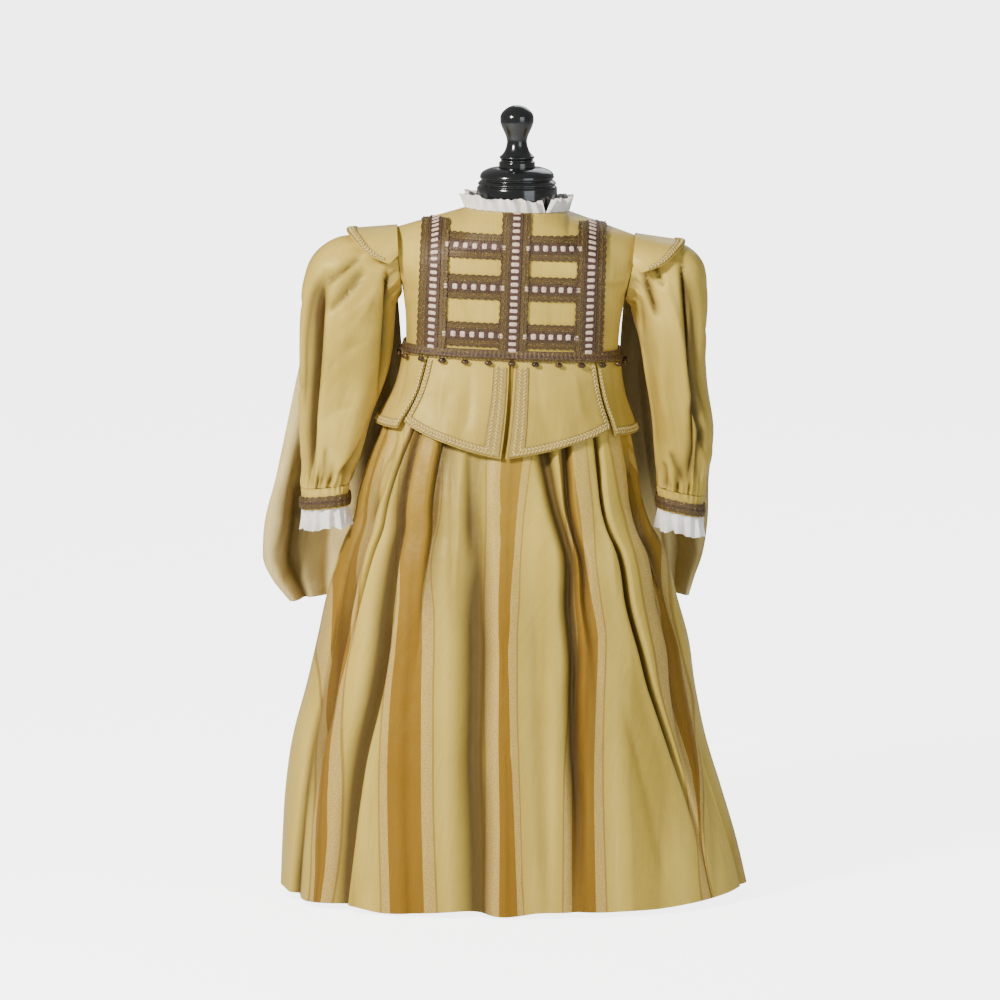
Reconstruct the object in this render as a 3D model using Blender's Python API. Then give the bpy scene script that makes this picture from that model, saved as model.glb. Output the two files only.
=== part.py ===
"""A child's gown in the Tudor style on a limbless dress form.

Metres, +Z up, front towards -Y. Lengths in this file are in millimetres and MM turns them into metres.
Each cut piece of cloth is a closed wall, 1 to 2 mm thick, and neighbours are SEAM apart.
"""

import math

import bmesh
import bpy
import numpy as np

MM = 0.001
SEAM = 0.4  # space between pieces that are sewn to each other
CLOTH = 1.3  # thickness of the silk with its backing
BRAID = 1.5  # thickness of the metal lace braids
TRIM_START = 15.5  # how far below the waist the edging of the peplum starts, under the beads
TRIM = 1.2  # thickness of the pale cord edging
FRILL = 1.1

# The bodice is drawn upright and then leans a little, as the gown hangs on its form.
WAIST = 700.0
LEAN = 0.036
WAIST_SHIFT = -4.0

NECK_HEIGHT = 878.0
NECK_HALF_WIDTH = 64.0
NECK_DEPTH = {"front": 58.0, "back": 57.0}
SHOULDER_POINT = 152.5
SHOULDER_HEIGHT = 849.0
UNDERARM_HEIGHT = 767.0
UNDERARM_HALF_WIDTH = 140.0
ARMHOLE_DEPTH = {"front": 36.0, "back": 34.0}
SHOULDER_ROUNDING = 54.0  # height over which the chest rolls over to the shoulder
TORSO_SQUARENESS = 2.8

TORSO_COLUMNS = ("height", "half_width", "front", "back")
TORSO = (
    (590.0, 118.0, 62.0, 60.0),
    (640.0, 122.0, 66.0, 63.0),
    (WAIST, 134.0, 78.0, 72.0),
    (740.0, 136.0, 80.0, 72.0),
    (UNDERARM_HEIGHT, UNDERARM_HALF_WIDTH, 81.0, 73.0),
    (800.0, 146.0, 81.0, 74.0),
    (825.0, 151.0, 79.0, 74.0),
    (880.0, 156.0, 78.0, 74.0),
)

# Rows of the bodice. Up to ROW_1_LOW they are heights, and above it shares of the way to the top edge.
ROW_3_LOW, ROW_3_HIGH = 706.0, 739.0
ROW_2_LOW, ROW_2_HIGH = UNDERARM_HEIGHT, 797.0
ROW_1_LOW = 821.0
ROW_1_HIGH_SHARE = 0.5
BODICE_HEIGHTS = (WAIST + 0.2, ROW_3_LOW, ROW_3_HIGH, ROW_2_LOW, 776.0, ROW_2_HIGH, ROW_1_LOW)
BODICE_SHARES = (ROW_1_HIGH_SHARE, 0.76, 0.92, 1.0)
BAR_ROWS = {"row_1": (6, 7), "row_2": (3, 5), "row_3": (1, 2)}

CENTRE_BRAID_HALF = 19.0
BRAID_TOP_GAP = 0.45  # share of the top row that the braids leave free below the frill
SIDE_BRAID_HALF = 18.5
SIDE_BRAID_AT = {"left": 101.0, "right": 95.0}

SKIRT_COLUMNS = ("height", "left", "right", "front", "back", "squareness")
SKIRT = (
    (6.0, -300.0, 297.0, 190.0, 206.0, 2.1),
    (78.0, -297.0, 281.0, 186.0, 202.0, 2.1),
    (140.0, -293.0, 264.0, 182.0, 197.0, 2.1),
    (202.0, -284.0, 245.0, 176.0, 190.0, 2.1),
    (274.0, -265.0, 230.0, 166.0, 180.0, 2.15),
    (330.0, -252.0, 222.0, 158.0, 171.0, 2.2),
    (385.0, -240.0, 207.0, 149.0, 161.0, 2.2),
    (451.0, -219.0, 190.0, 138.0, 148.0, 2.3),
    (480.0, -206.0, 174.0, 131.0, 141.0, 2.35),
    (510.0, -200.0, 164.0, 125.0, 134.0, 2.4),
    (560.0, -184.0, 155.0, 113.0, 120.0, 2.5),
    (604.0, -165.0, 146.0, 101.0, 104.0, 2.6),
    (650.0, -146.0, 133.0, 88.0, 86.0, 2.7),
    (WAIST - 0.4, -138.0, 130.0, 78.0, 72.0, TORSO_SQUARENESS),
)
SKIRT_ROWS = (6, 56, 116, 176, 232, 284, 334, 388, 440, 490, 540, 590, 636, WAIST - 0.4)

# Folds of the skirt. Angles run from the centre front, positive towards +X, and are given at five heights.
FOLD_HEIGHTS = (6.0, 200.0, 330.0, 451.0, 604.0)
FOLD_COLUMNS = ("name", "angles", "depths", "sharp_side", "soft_width")
FOLDS = (
    ("left_5", (-148, -148, -147, -146, -145), (15, 14, 12, 10, 6), -1, 24),
    ("left_4", (-126, -125, -124, -122, -121), (10, 16, 18, 14, 8), 1, 26),
    ("left_3", (-99, -100, -101, -102, -103), (16, 13, 9, 8, 7), -1, 22),
    ("left_2", (-71, -66, -66, -70, -78), (15, 11, 6, 6, 5), -1, 26),
    ("front_l1", (-58, -56, -54, -52, -46), (0, 0, 5, 14, 17), 1, 14),
    ("front_l2", (-46.5, -42, -37, -38.5, -40), (15, 22, 24, 19, 17), 1, 24),
    ("front_l3", (-25, -25, -25, -24.5, -24.5), (4, 0, 2, 11, 15), -1, 20),
    ("front_c", (-8.7, -8, -7.2, -8, -8.6), (16, 14, 11, 7, 5), 0, 24),
    ("front_r1", (19, 20.4, 21.5, 20.5, 18.5), (5, 17, 22, 21, 18), -1, 16),
    ("front_r2", (30, 29, 27.5, 27, 31), (0, 0, 4, 14, 16), -1, 12),
    ("front_r3", (57, 52, 43.5, 42.5, 49), (0, 16, 25, 22, 17), -1, 26),
    ("right_1", (76, 72, 67, 66, 76), (10, 5, 11, 14, 12), -1, 20),
    ("right_2", (97, 98, 99, 100, 101), (15, 14, 10, 9, 6), 1, 24),
    ("right_3", (123, 122, 121, 119, 118), (9, 15, 17, 13, 7), -1, 26),
    ("right_4", (144, 145, 146, 146, 147), (16, 12, 9, 9, 8), 1, 22),
    ("back", (178, 178, 177, 177, 176), (12, 16, 17, 13, 9), 0, 28),
)
SHARP_WIDTH = 6.0  # how far the steep side of a fold reaches, while its soft side has its own width
FOLDS_END = (604.0, 660.0)  # the folds fade out between these heights, under the peplum
BESIDE_SHARE = 0.28  # the columns beside a fold lie at most this share of the way to the next one
BESIDE_DEGREES = {"sharp": 4.6, "soft": 8.5}
BETWEEN_FOLDS = (0.34, 0.68)
SKIRT_LEAN = (380.0, 600.0)  # the skirt leans with the bodice above these heights

# The four widths of the skirt, as the angles of their seams.
WIDTHS = {
    "skirt_front": (-60, 60),
    "skirt_right": (60, 134),
    "skirt_back": (134, 226),
    "skirt_left": (226, 300),
}

PEPLUM_COLUMNS = ("height", "left", "right", "front", "back", "squareness")
PEPLUM = (
    (560.0, -197.0, 162.0, 122.0, 128.0, 2.5),
    (604.0, -176.0, 154.0, 107.0, 111.0, 2.6),
    (650.0, -152.5, 139.5, 93.0, 92.0, 2.7),
    (WAIST - 0.6, -140.8, 132.8, 81.0, 75.0, TORSO_SQUARENESS),
)
# Each panel of the peplum: its edges as angles at the waist and at the hem, and the drop of its lower edge.
PEPLUM_PANEL_COLUMNS = ("name", "near_top", "near_hem", "far_top", "far_hem", "near_drop", "far_drop")
PEPLUM_PANELS = (
    ("front", 0.3, 0.3, 42.5, 49.0, 126.0, 88.0),
    ("side", 44.0, 51.5, 134.0, 130.0, 97.0, 97.0),
    ("back", 136.0, 132.5, 179.7, 179.7, 90.0, 112.0),
)
PEPLUM_ROWS = 4
PEPLUM_STEPS = {"front": 5, "side": 7, "back": 5}
# The cord edging of a panel, as shares of its width at the sides and of its drop at the hem.
PEPLUM_EDGING = {"front": (0.105, 0.07), "side": (0.04, 0.08), "back": (0.1, 0.07)}
TRIM_GAP = SEAM + 0.2

# Rings of each sleeve: the point nearest the body, the point farthest from it, and half the depth.
SLEEVE_COLUMNS = ("near_x", "near_height", "far_x", "far_height", "half_depth", "depth_at", "gather")
SLEEVES = {
    "left": (
        (-150.5, 760.0, -180.0, 845.0, 42.0, 0.0, 2.0),
        (-151.5, 752.0, -222.0, 843.0, 48.0, 0.0, 2.8),
        (-152.0, 742.0, -252.0, 824.0, 51.0, -2.0, 2.8),
        (-152.5, 728.0, -268.0, 789.0, 53.0, -4.0, 2.6),
        (-156.0, 700.0, -273.0, 740.0, 53.0, -8.0, 3.4),
        (-167.0, 655.0, -274.0, 676.0, 51.0, -12.0, 4.0),
        (-183.0, 612.0, -274.0, 622.0, 48.0, -16.0, 3.6),
        (-194.0, 574.0, -272.0, 577.0, 44.0, -19.0, 3.0),
        (-203.0, 546.0, -271.0, 545.0, 38.0, -21.0, 2.6),
        (-210.0, 531.0, -271.0, 526.0, 32.0, -22.0, 1.4),
    ),
    "right": (
        (146.5, 756.0, 174.0, 838.0, 42.0, 0.0, 2.0),
        (148.0, 748.0, 212.0, 834.0, 48.0, 0.0, 2.8),
        (150.0, 738.0, 236.0, 814.0, 51.0, -2.0, 2.8),
        (154.0, 724.0, 243.0, 780.0, 53.0, -4.0, 2.6),
        (161.0, 696.0, 243.0, 732.0, 53.0, -8.0, 3.4),
        (168.0, 652.0, 241.0, 671.0, 51.0, -12.0, 4.0),
        (174.0, 606.0, 248.0, 616.0, 48.0, -16.0, 3.6),
        (177.0, 570.0, 250.0, 572.0, 45.0, -19.0, 3.0),
        (179.0, 543.0, 243.0, 538.0, 38.0, -21.0, 2.6),
        (180.0, 528.0, 239.0, 516.0, 32.0, -22.0, 1.4),
    ),
}
SLEEVE_SIDES = 28
SLEEVE_GATHERS = 7
ARMHOLE_GAP = SEAM + 0.6
CUFF_WALL = 1.3
CUFF_FROM, CUFF_TO = 0.6, 27.6  # below the last ring of the sleeve
CUFF_BRAID_FROM, CUFF_BRAID_TO = 10.5, 26.0
CUFF_SIDES = 24
CUFF_FRILL_HEIGHT = 25.0
CUFF_FRILL_WAVES = 14
CUFF_FRILL_WAVE = 2.4
CUFF_FRILL_INSET = 2.0
NECK_FRILL_WAVES = 32
NECK_FRILL_HEIGHT = {"front": 18.5, "back": 25.0}
NECK_FRILL_SPREAD = 3.0  # how far the frill's free edge leans out
NECK_FRILL_WAVE = 2.3
FRILL_SEAM_SHARE = 0.35  # how much of its waves a frill has at its seam
NOTCH_OPENS = (0.6, 6.1)  # half the notch in degrees, at the seam and at the free edge
NOTCH_ANGLE = 34.0  # where the two ends of the neck frill meet, from the centre front towards +X

# Hanging over-sleeves: inner edge, middle and outer edge of each row, as x and depth behind the centre.
HANGING_COLUMNS = ("height", "near_x", "near_y", "middle_x", "middle_y", "far_x", "far_y")
HANGING = {
    "left": (
        (816.0, -161.0, 42.4, -184.0, 45.8, -208.0, 44.8),
        (780.0, -160.0, 58.0, -198.0, 64.0, -240.0, 58.0),
        (720.0, -161.0, 64.0, -207.0, 76.0, -262.0, 56.0),
        (650.0, -166.0, 74.0, -216.0, 86.0, -279.0, 44.0),
        (590.0, -172.0, 84.0, -228.0, 95.0, -292.0, 34.0),
        (530.0, -178.0, 94.0, -240.0, 100.0, -305.0, 26.0),
        (475.0, -184.0, 102.0, -250.0, 102.0, -319.0, 20.0),
        (430.0, -190.0, 108.0, -256.0, 101.0, -322.0, 18.0),
        (398.0, -196.0, 112.0, -256.0, 100.0, -310.0, 24.0),
        (368.0, -204.0, 115.0, -252.0, 98.0, -288.0, 40.0),
    ),
    "right": (
        (805.0, 155.0, 42.0, 178.0, 48.0, 202.0, 45.6),
        (774.0, 154.0, 58.0, 192.0, 64.0, 228.0, 58.0),
        (714.0, 156.0, 64.0, 197.0, 76.0, 240.0, 60.0),
        (645.0, 160.0, 74.0, 201.0, 87.0, 246.0, 58.0),
        (585.0, 165.0, 84.0, 206.0, 98.0, 254.0, 56.0),
        (525.0, 170.0, 95.0, 208.0, 108.0, 248.0, 56.0),
        (470.0, 174.0, 106.0, 210.0, 116.0, 247.0, 60.0),
        (425.0, 178.0, 115.0, 208.0, 122.0, 241.0, 68.0),
        (398.0, 181.0, 120.0, 206.0, 124.0, 232.0, 78.0),
        (368.0, 186.0, 126.0, 206.0, 126.0, 224.0, 96.0),
    ),
}
HANGING_FOLDS = ((0.24, 7.0), (0.5, 9.0), (0.76, 7.0))  # share of the way across, and depth
HANGING_FOLD_WIDTH = 0.09
HANGING_STEPS = 9

WING_REACH = 64.0
WING_HALF_DEPTH = 61.0
WING_TOP = 852.1
WING_DROOP = 8.0  # how far its outer edge hangs below its root
WING_FOOT = 815.0
WING_WALL = 1.6
WING_TRIM_WIDTH = 11.0
WING_ROOT = {"inset": 2.0, "tuck": 3.0, "depth": 13.0}  # its root against the armhole, and lower down

WAIST_BRAID_COLUMNS = ("up", "gap", "bulge", "drop")
WAIST_BRAID = (
    (5.6, 1.8, 0.0, 0.0),
    (-0.2, 4.0, 0.0, 0.0),
    (-3.4, 4.8, 1.0, 0.4),
    (-4.4, 5.0, 0.3, 1.0),
)
BEAD_PITCH = 30.0
BEAD_HALF_WIDTH = 6.0
BEAD_DROP = 8.0
BEAD_BULGE = 2.6
BEAD_LEAN = 2.2

TURNED_COLUMNS = ("radius", "height")
NECK_BLOCK = (
    (51.0, 876.9), (51.0, 896), (50.5, 905), (48.3, 907.5), (49.6, 910), (47.6, 912.5), (45.2, 915),
    (47.0, 917.5), (46.4, 921), (43.8, 924.5), (37.5, 928), (28.0, 930),
)
FINIAL = (
    (22.9, 930.4), (22.9, 936), (20.3, 939), (22.2, 943), (19.4, 946), (16.2, 950), (13.6, 957), (12.7, 963),
    (14.4, 969.5), (15.4, 976), (18.4, 982), (21.0, 988.5), (21.0, 995), (18.2, 1000.5), (11.5, 1006),
)
FINIAL_TOP = 1009.0
POLE = ((15.0, 16.4), (15.0, 589.6))
BASE = ((138.0, 0.0), (140.0, 3.0), (140.0, 8.0), (132.0, 12.0), (40.0, 14.5), (26.0, 16.0))
FORM_INSET = 3.4  # how far the form lies inside the bodice's outer face
FORM_DROP = 2.1  # the same along its shoulders, where it carries the gown
FORM_RIDGE = 2.5  # half the width of the form along the top of its shoulders
FORM_LOW_HEIGHTS = (590.0, 625.0, 662.0)
FORM_AXIS = 2.4  # the neck block and finial stand on the leaning neck, the pole under the waist

FINISHES = {  # colour, roughness, metallic
    "silk": ((0.60, 0.45, 0.19), 0.38, 0.0),
    "striped_silk": ((0.58, 0.42, 0.16), 0.38, 0.0),
    "metal_braid": ((0.14, 0.085, 0.055), 0.5, 0.35),
    "cord_edging": ((0.62, 0.53, 0.33), 0.7, 0.0),
    "white_frill": ((0.87, 0.84, 0.78), 0.8, 0.0),
    "form_cover": ((0.08, 0.075, 0.07), 0.8, 0.0),
    "black_lacquer": ((0.012, 0.013, 0.012), 0.15, 0.0),
}
SIGN = {"left": -1.0, "right": 1.0}


def columns_of(names, rows):
    """A table as one array for each named column."""
    return {name: np.array([row[i] for row in rows], float) for i, name in enumerate(names)}


def named(names, row):
    """One row of a table by the names of its columns."""
    return dict(zip(names, row))


def ease(start, stop, at):
    """0 up to start and 1 from stop, with a soft change between them."""
    way = np.clip((at - start) / (stop - start), 0, 1)
    return way * way * (3 - 2 * way)


def smooth(xs, ys, at):
    """A cubic through the rows of a table that never overshoots them."""
    xs, ys, at = np.asarray(xs, float), np.asarray(ys, float), np.asarray(at, float)
    step = np.diff(xs)
    slope = np.diff(ys) / step
    tangent = np.concatenate([slope[:1], (slope[:-1] + slope[1:]) / 2, slope[-1:]])
    turns = slope[:-1] * slope[1:] <= 0
    tangent[1:-1][turns] = 0
    i = np.clip(np.searchsorted(xs, at) - 1, 0, len(step) - 1)
    t = np.clip((at - xs[i]) / step[i], 0, 1)
    return (
        ys[i] * (1 + 2 * t) * (1 - t) ** 2
        + ys[i + 1] * t**2 * (3 - 2 * t)
        + step[i] * t * (1 - t) * (tangent[i] * (1 - t) - tangent[i + 1] * t)
    )


def leaning(points):
    """Moves points of the upright bodice to where they hang."""
    x, y, z = points[..., 0], points[..., 1], points[..., 2]
    return np.stack([x + WAIST_SHIFT + LEAN * (z - WAIST), y, z - LEAN * x], axis=-1)


def normals_of(points, wrap=False):
    """Unit normals of a grid of points, rows first, whichever way the grid runs."""
    if wrap:
        across = np.roll(points, -1, 1) - np.roll(points, 1, 1)
    else:
        across = np.gradient(points, axis=1)
    up = np.gradient(points, axis=0)
    normals = np.cross(across, up)
    return normals / np.maximum(np.linalg.norm(normals, axis=-1, keepdims=True), 1e-9)


def finish_of(name):
    """The material of that name, made once."""
    material = bpy.data.materials.get(name)
    if material is None:
        colour, roughness, metallic = FINISHES[name]
        material = bpy.data.materials.new(name)
        material.use_nodes = True
        shader = material.node_tree.nodes["Principled BSDF"]
        shader.inputs["Base Color"].default_value = (*colour, 1)
        shader.inputs["Roughness"].default_value = roughness
        shader.inputs["Metallic"].default_value = metallic
    return material


def add_solid(name, points, faces, finish):
    """One named object from points in millimetres, with its faces turned outwards."""
    mesh = bpy.data.meshes.new(name)
    mesh.from_pydata((np.asarray(points) * MM).tolist(), [], faces)
    shape = bmesh.new()
    shape.from_mesh(mesh)
    bmesh.ops.recalc_face_normals(shape, faces=shape.faces)
    shape.to_mesh(mesh)
    shape.free()
    mesh.materials.append(finish_of(finish))
    mesh.shade_smooth()
    mesh.set_sharp_from_angle(angle=math.radians(40))
    body = bpy.data.objects.new(name, mesh)
    bpy.context.scene.collection.objects.link(body)
    return body


def add_wall(name, outer, inner, finish, wrap=False):
    """A wall between two grids of points, closed along its rims; wrap joins the last column to the first."""
    rows, columns = outer.shape[:2]
    count = rows * columns
    points = np.concatenate([outer.reshape(-1, 3), inner.reshape(-1, 3)])
    faces = []
    spans = columns if wrap else columns - 1
    for row in range(rows - 1):
        for column in range(spans):
            a, b = row * columns + column, row * columns + (column + 1) % columns
            c, d = b + columns, a + columns
            faces += [(a, b, c), (a, c, d)]
            faces += [(a + count, c + count, b + count), (a + count, d + count, c + count)]
    for row in (0, rows - 1):
        for column in range(spans):
            a, b = row * columns + column, row * columns + (column + 1) % columns
            faces += [(a, b, b + count), (a, b + count, a + count)]
    if not wrap:
        for column in (0, columns - 1):
            for row in range(rows - 1):
                a, b = row * columns + column, (row + 1) * columns + column
                faces += [(a, b, b + count), (a, b + count, a + count)]
    return add_solid(name, points, faces, finish)


def add_turned(name, profile, axis_x, sides, finish, tip=None):
    """A turned solid from radii and heights, bottom first, closed flat or with a rounded tip."""
    table = columns_of(TURNED_COLUMNS, profile)
    angles = np.arange(sides) * 2 * math.pi / sides
    points, faces = [], []
    for radius, height in zip(table["radius"], table["height"]):
        points += [(axis_x + radius * math.cos(a), radius * math.sin(a), height) for a in angles]
    for ring in range(len(profile) - 1):
        for side in range(sides):
            a, b = ring * sides + side, ring * sides + (side + 1) % sides
            faces += [(a, b, b + sides), (a, b + sides, a + sides)]
    last = (len(profile) - 1) * sides
    faces.append(tuple(range(sides))[::-1])
    if tip is None:
        faces.append(tuple(range(last, last + sides)))
    else:
        points.append((axis_x, 0, tip))
        faces += [(last + side, last + (side + 1) % sides, len(points) - 1) for side in range(sides)]
    return add_solid(name, points, faces, finish)


def rounded(share, squareness):
    """Half the depth of a squarish oval at a share of its half width, as a share of its own depth."""
    return (1 - np.clip(np.abs(share), 0, 1) ** squareness) ** (1 / squareness)


def shoulder_line(x):
    """Height of the bodice's top edge: level round the neck, then down to the shoulder point."""
    slope = (NECK_HEIGHT - SHOULDER_HEIGHT) / (SHOULDER_POINT - NECK_HALF_WIDTH)
    return NECK_HEIGHT - slope * np.maximum(x - NECK_HALF_WIDTH, 0)


def torso_depth(x, height, half):
    """How far the bodice stands in front of or behind its side seams, at each x and height."""
    torso = columns_of(TORSO_COLUMNS, TORSO)
    width = smooth(torso["height"], torso["half_width"], height)
    depth = smooth(torso["height"], torso[half], height) * rounded(x / width, TORSO_SQUARENESS)
    top = NECK_DEPTH[half] * np.sqrt(np.clip(1 - (x / NECK_HALF_WIDTH) ** 2, 0, 1))
    left_to_top = np.clip((shoulder_line(x) - height) / SHOULDER_ROUNDING, 0, 1)
    rolled = (1 - (1 - left_to_top) ** 1.8) ** (1 / 1.8)
    return top + (np.maximum(depth, top) - top) * rolled


def bodice_heights(x):
    """The heights of the bodice's rows at x."""
    upper = ROW_1_LOW + np.array(BODICE_SHARES) * (shoulder_line(x) - ROW_1_LOW)
    return np.concatenate([BODICE_HEIGHTS, upper])


def edge_of_bodice(half, armhole=True):
    """The last column of a bodice panel: the side seam, then the armhole up to the shoulder point."""
    heights = bodice_heights(SHOULDER_POINT)
    torso = columns_of(TORSO_COLUMNS, TORSO)
    seam = smooth(torso["height"], torso["half_width"], heights)
    way = np.clip((heights - UNDERARM_HEIGHT) / (SHOULDER_HEIGHT - UNDERARM_HEIGHT), 0, 1)
    x = np.where(way > 0, UNDERARM_HALF_WIDTH + way * (SHOULDER_POINT - UNDERARM_HALF_WIDTH), seam)
    depth = ARMHOLE_DEPTH[half] * (4 * way * (1 - way)) ** 0.6 * armhole
    return np.stack([x, depth, heights], axis=-1)


def bodice_columns(side):
    """Where the columns of a bodice panel run: the edges of the braids are among them."""
    braid = SIDE_BRAID_AT[side]
    near, far = braid - SIDE_BRAID_HALF, braid + SIDE_BRAID_HALF
    return np.array([0.25, CENTRE_BRAID_HALF, (CENTRE_BRAID_HALF + near) / 2, near, braid, far, far + 11])


def bodice_grid(side, half, armhole=True):
    """The outer face of one bodice panel, upright: rows upwards, columns from the centre to the side."""
    facing = {"front": -1.0, "back": 1.0}[half]
    columns = []
    for x in bodice_columns(side):
        heights = bodice_heights(x)
        depth = torso_depth(np.full(len(heights), x), heights, half)
        columns.append(np.stack([np.full(len(heights), x), depth, heights], axis=-1))
    columns.append(edge_of_bodice(half, armhole))
    grid = np.stack(columns, axis=1)
    grid[..., 1] = facing * np.maximum(grid[..., 1], SEAM / 2)
    grid[..., 0] *= SIGN[side]
    return grid


def outward(grid, normals):
    """The normals, turned to point away from the middle of the body."""
    middle = np.array([0, 0, grid[..., 2].mean()])
    away = np.sum((grid - middle) * normals, axis=-1)
    return normals if np.median(away) > 0 else -normals


def bodice_normals(grid):
    """Normals of a bodice panel, level along the seams so that both sides of a seam stay parallel."""
    normals = normals_of(grid)
    normals[:, 0, 0] = 0
    on_seam = np.abs(grid[..., 1]) <= SEAM / 2 + 0.01
    normals[on_seam, 1] = 0
    normals /= np.linalg.norm(normals, axis=-1, keepdims=True)
    return outward(grid, normals)


def make_bodice():
    """Four panels, with the braids laid on the front ones."""
    for half in ("front", "back"):
        for side in ("left", "right"):
            grid = bodice_grid(side, half)
            normals = bodice_normals(grid)
            add_wall(f"bodice_{half}_{side}", leaning(grid), leaning(grid - normals * CLOTH), "silk")
    for side in ("left", "right"):
        grid = bodice_grid(side, "front")
        normals = bodice_normals(grid)
        grid[-1] -= (grid[-1] - grid[-2]) * BRAID_TOP_GAP
        low, high = grid + normals * SEAM, grid + normals * (SEAM + BRAID)
        add_wall(f"braid_{side}", leaning(high[1:, 3:6]), leaning(low[1:, 3:6]), "metal_braid")
        for bar, (first, last) in BAR_ROWS.items():
            part = np.s_[first : last + 1, 1:4]
            outer, inner = high[part].copy(), low[part].copy()
            for face in (outer, inner):
                face[:, 0, 0] += SIGN[side] * SEAM
                face[:, -1, 0] -= SIGN[side] * SEAM
            add_wall(f"bar_{bar}_{side}", leaning(outer), leaning(inner), "metal_braid")
    left, right = bodice_grid("left", "front")[1:, 1::-1], bodice_grid("right", "front")[1:, :2]
    grid = np.concatenate([left, right], axis=1)
    normals = outward(grid, normals_of(grid))
    grid[-1] -= (grid[-1] - grid[-2]) * BRAID_TOP_GAP
    low, high = grid + normals * SEAM, grid + normals * (SEAM + BRAID)
    low, high = np.delete(low, 2, axis=1), np.delete(high, 2, axis=1)
    add_wall("braid_centre", leaning(high), leaning(low), "metal_braid")


def form_quarter(side, half):
    """The form inside one bodice panel, from its flat foot to the neck: rows upwards, columns to the side."""
    facing = {"front": -1.0, "back": 1.0}[half]
    torso = columns_of(TORSO_COLUMNS, TORSO)
    bodice = bodice_grid(side, half, armhole=False)[:, 1::2]
    x, depth, height = np.abs(bodice[..., 0]), np.abs(bodice[..., 1]), bodice[..., 2]
    rows = []
    for low in FORM_LOW_HEIGHTS:
        width = smooth(torso["height"], torso["half_width"], low)
        xs = x[0] / x[0, -1] * width
        depths = smooth(torso["height"], torso[half], low) * rounded(xs / width, TORSO_SQUARENESS)
        rows.append(np.stack([xs, depths, np.full(len(xs), low)], axis=-1))
    grid = np.concatenate([np.array(rows), np.stack([x, depth, height], axis=-1)])
    upper = np.clip((grid[..., 2] - 780) / 60, 0, 1)
    grid[..., 0] *= 1 - FORM_INSET / SHOULDER_POINT
    grid[..., 1] = facing * np.maximum(grid[..., 1] - FORM_INSET, FORM_RIDGE)
    grid[..., 2] -= upper * FORM_DROP
    grid[..., 0] *= SIGN[side]
    return grid


def make_form():
    """The padded torso inside the bodice, with its turned neck, pole and base."""
    order = (("right", "front"), ("right", "back"), ("left", "back"), ("left", "front"))
    quarters = [form_quarter(side, half) for side, half in order]
    grid = leaning(np.array([ring_of(row) for row in zip(*quarters)]))
    grid[0, :, 2] = FORM_LOW_HEIGHTS[0]
    sides = grid.shape[1]
    faces = []
    for row in range(len(grid) - 1):
        for side in range(sides):
            a, b = row * sides + side, row * sides + (side + 1) % sides
            faces += [(a, b, b + sides), (a, b + sides, a + sides)]
    last = (len(grid) - 1) * sides
    faces.append(tuple(range(sides))[::-1])
    faces.append(tuple(range(last, last + sides)))
    add_solid("form_torso", grid.reshape(-1, 3), faces, "form_cover")
    add_turned("neck_block", NECK_BLOCK, FORM_AXIS, 24, "black_lacquer")
    add_turned("neck_finial", FINIAL, FORM_AXIS, 20, "black_lacquer", tip=FINIAL_TOP)
    add_turned("stand_pole", POLE, WAIST_SHIFT, 16, "black_lacquer")
    add_turned("stand_base", BASE, WAIST_SHIFT, 32, "black_lacquer")


def ring_of(quarters):
    """One ring from four quarters, each from the centre to the side; a shared side point is kept once."""
    right_front, right_back, left_back, left_front = [np.array(quarter) for quarter in quarters]
    return np.concatenate([right_front, right_back[-2::-1], left_back, left_front[-2::-1]])


def oval(angles, left, right, front, back, squareness):
    """Points of a squarish oval at angles from the centre front, in degrees, positive towards +X."""
    turn = np.radians(angles)
    s, c = np.sin(turn), np.cos(turn)
    power = 2 / squareness
    middle, half = (left + right) / 2, (right - left) / 2
    x = middle + half * np.sign(s) * np.abs(s) ** power
    y = -np.sign(c) * np.abs(c) ** power * np.where(c > 0, front, back)
    return x, y


def rings_at(names, table, angles, heights):
    """Points of a stack of ovals: angles and heights are grids of the same shape."""
    rows = columns_of(names, sorted(table))
    sizes = [smooth(rows["height"], rows[key], heights) for key in names[1:]]
    x, y = oval(angles, *sizes)
    return np.stack([x, y, heights], axis=-1)


def folds_at(height):
    """The folds at a height: where each one runs, in degrees, how deep it is, and its steep side."""
    folds = [named(FOLD_COLUMNS, row) for row in FOLDS]
    for fold in folds:
        fold["angle"] = float(smooth(FOLD_HEIGHTS, fold["angles"], height))
        fold["depth"] = float(smooth(FOLD_HEIGHTS, fold["depths"], height))
    return folds


def skirt_angles(height):
    """The columns of the skirt at a height: at each fold, beside it, and evenly between."""
    folds = folds_at(height)
    angles = []
    for fold, following in zip(folds, folds[1:] + folds[:1]):
        span = (following["angle"] - fold["angle"]) % 360
        near = BESIDE_DEGREES["sharp" if fold["sharp_side"] > 0 else "soft"]
        far = BESIDE_DEGREES["sharp" if following["sharp_side"] < 0 else "soft"]
        near, far = min(BESIDE_SHARE * span, near), min(BESIDE_SHARE * span, far)
        between = [near + (span - near - far) * share for share in BETWEEN_FOLDS]
        angles += [fold["angle"] + away for away in (0, near, *between, span - far)]
    return np.array(angles)


def fold_depth(angles, height, radius):
    """How deep the folds pull the skirt in, at angles of one row."""
    total = np.zeros(len(angles))
    fade = 1 - ease(*FOLDS_END, height)
    for fold in folds_at(height):
        away = np.radians((angles - fold["angle"] + 180) % 360 - 180) * radius
        soft = fold["soft_width"]
        right = SHARP_WIDTH if fold["sharp_side"] > 0 else soft
        left = SHARP_WIDTH if fold["sharp_side"] < 0 else soft
        width = np.where(away > 0, right, left)
        total = np.maximum(total, fold["depth"] * fade * np.exp(-np.abs(away / width) ** 1.6))
    return total


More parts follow.
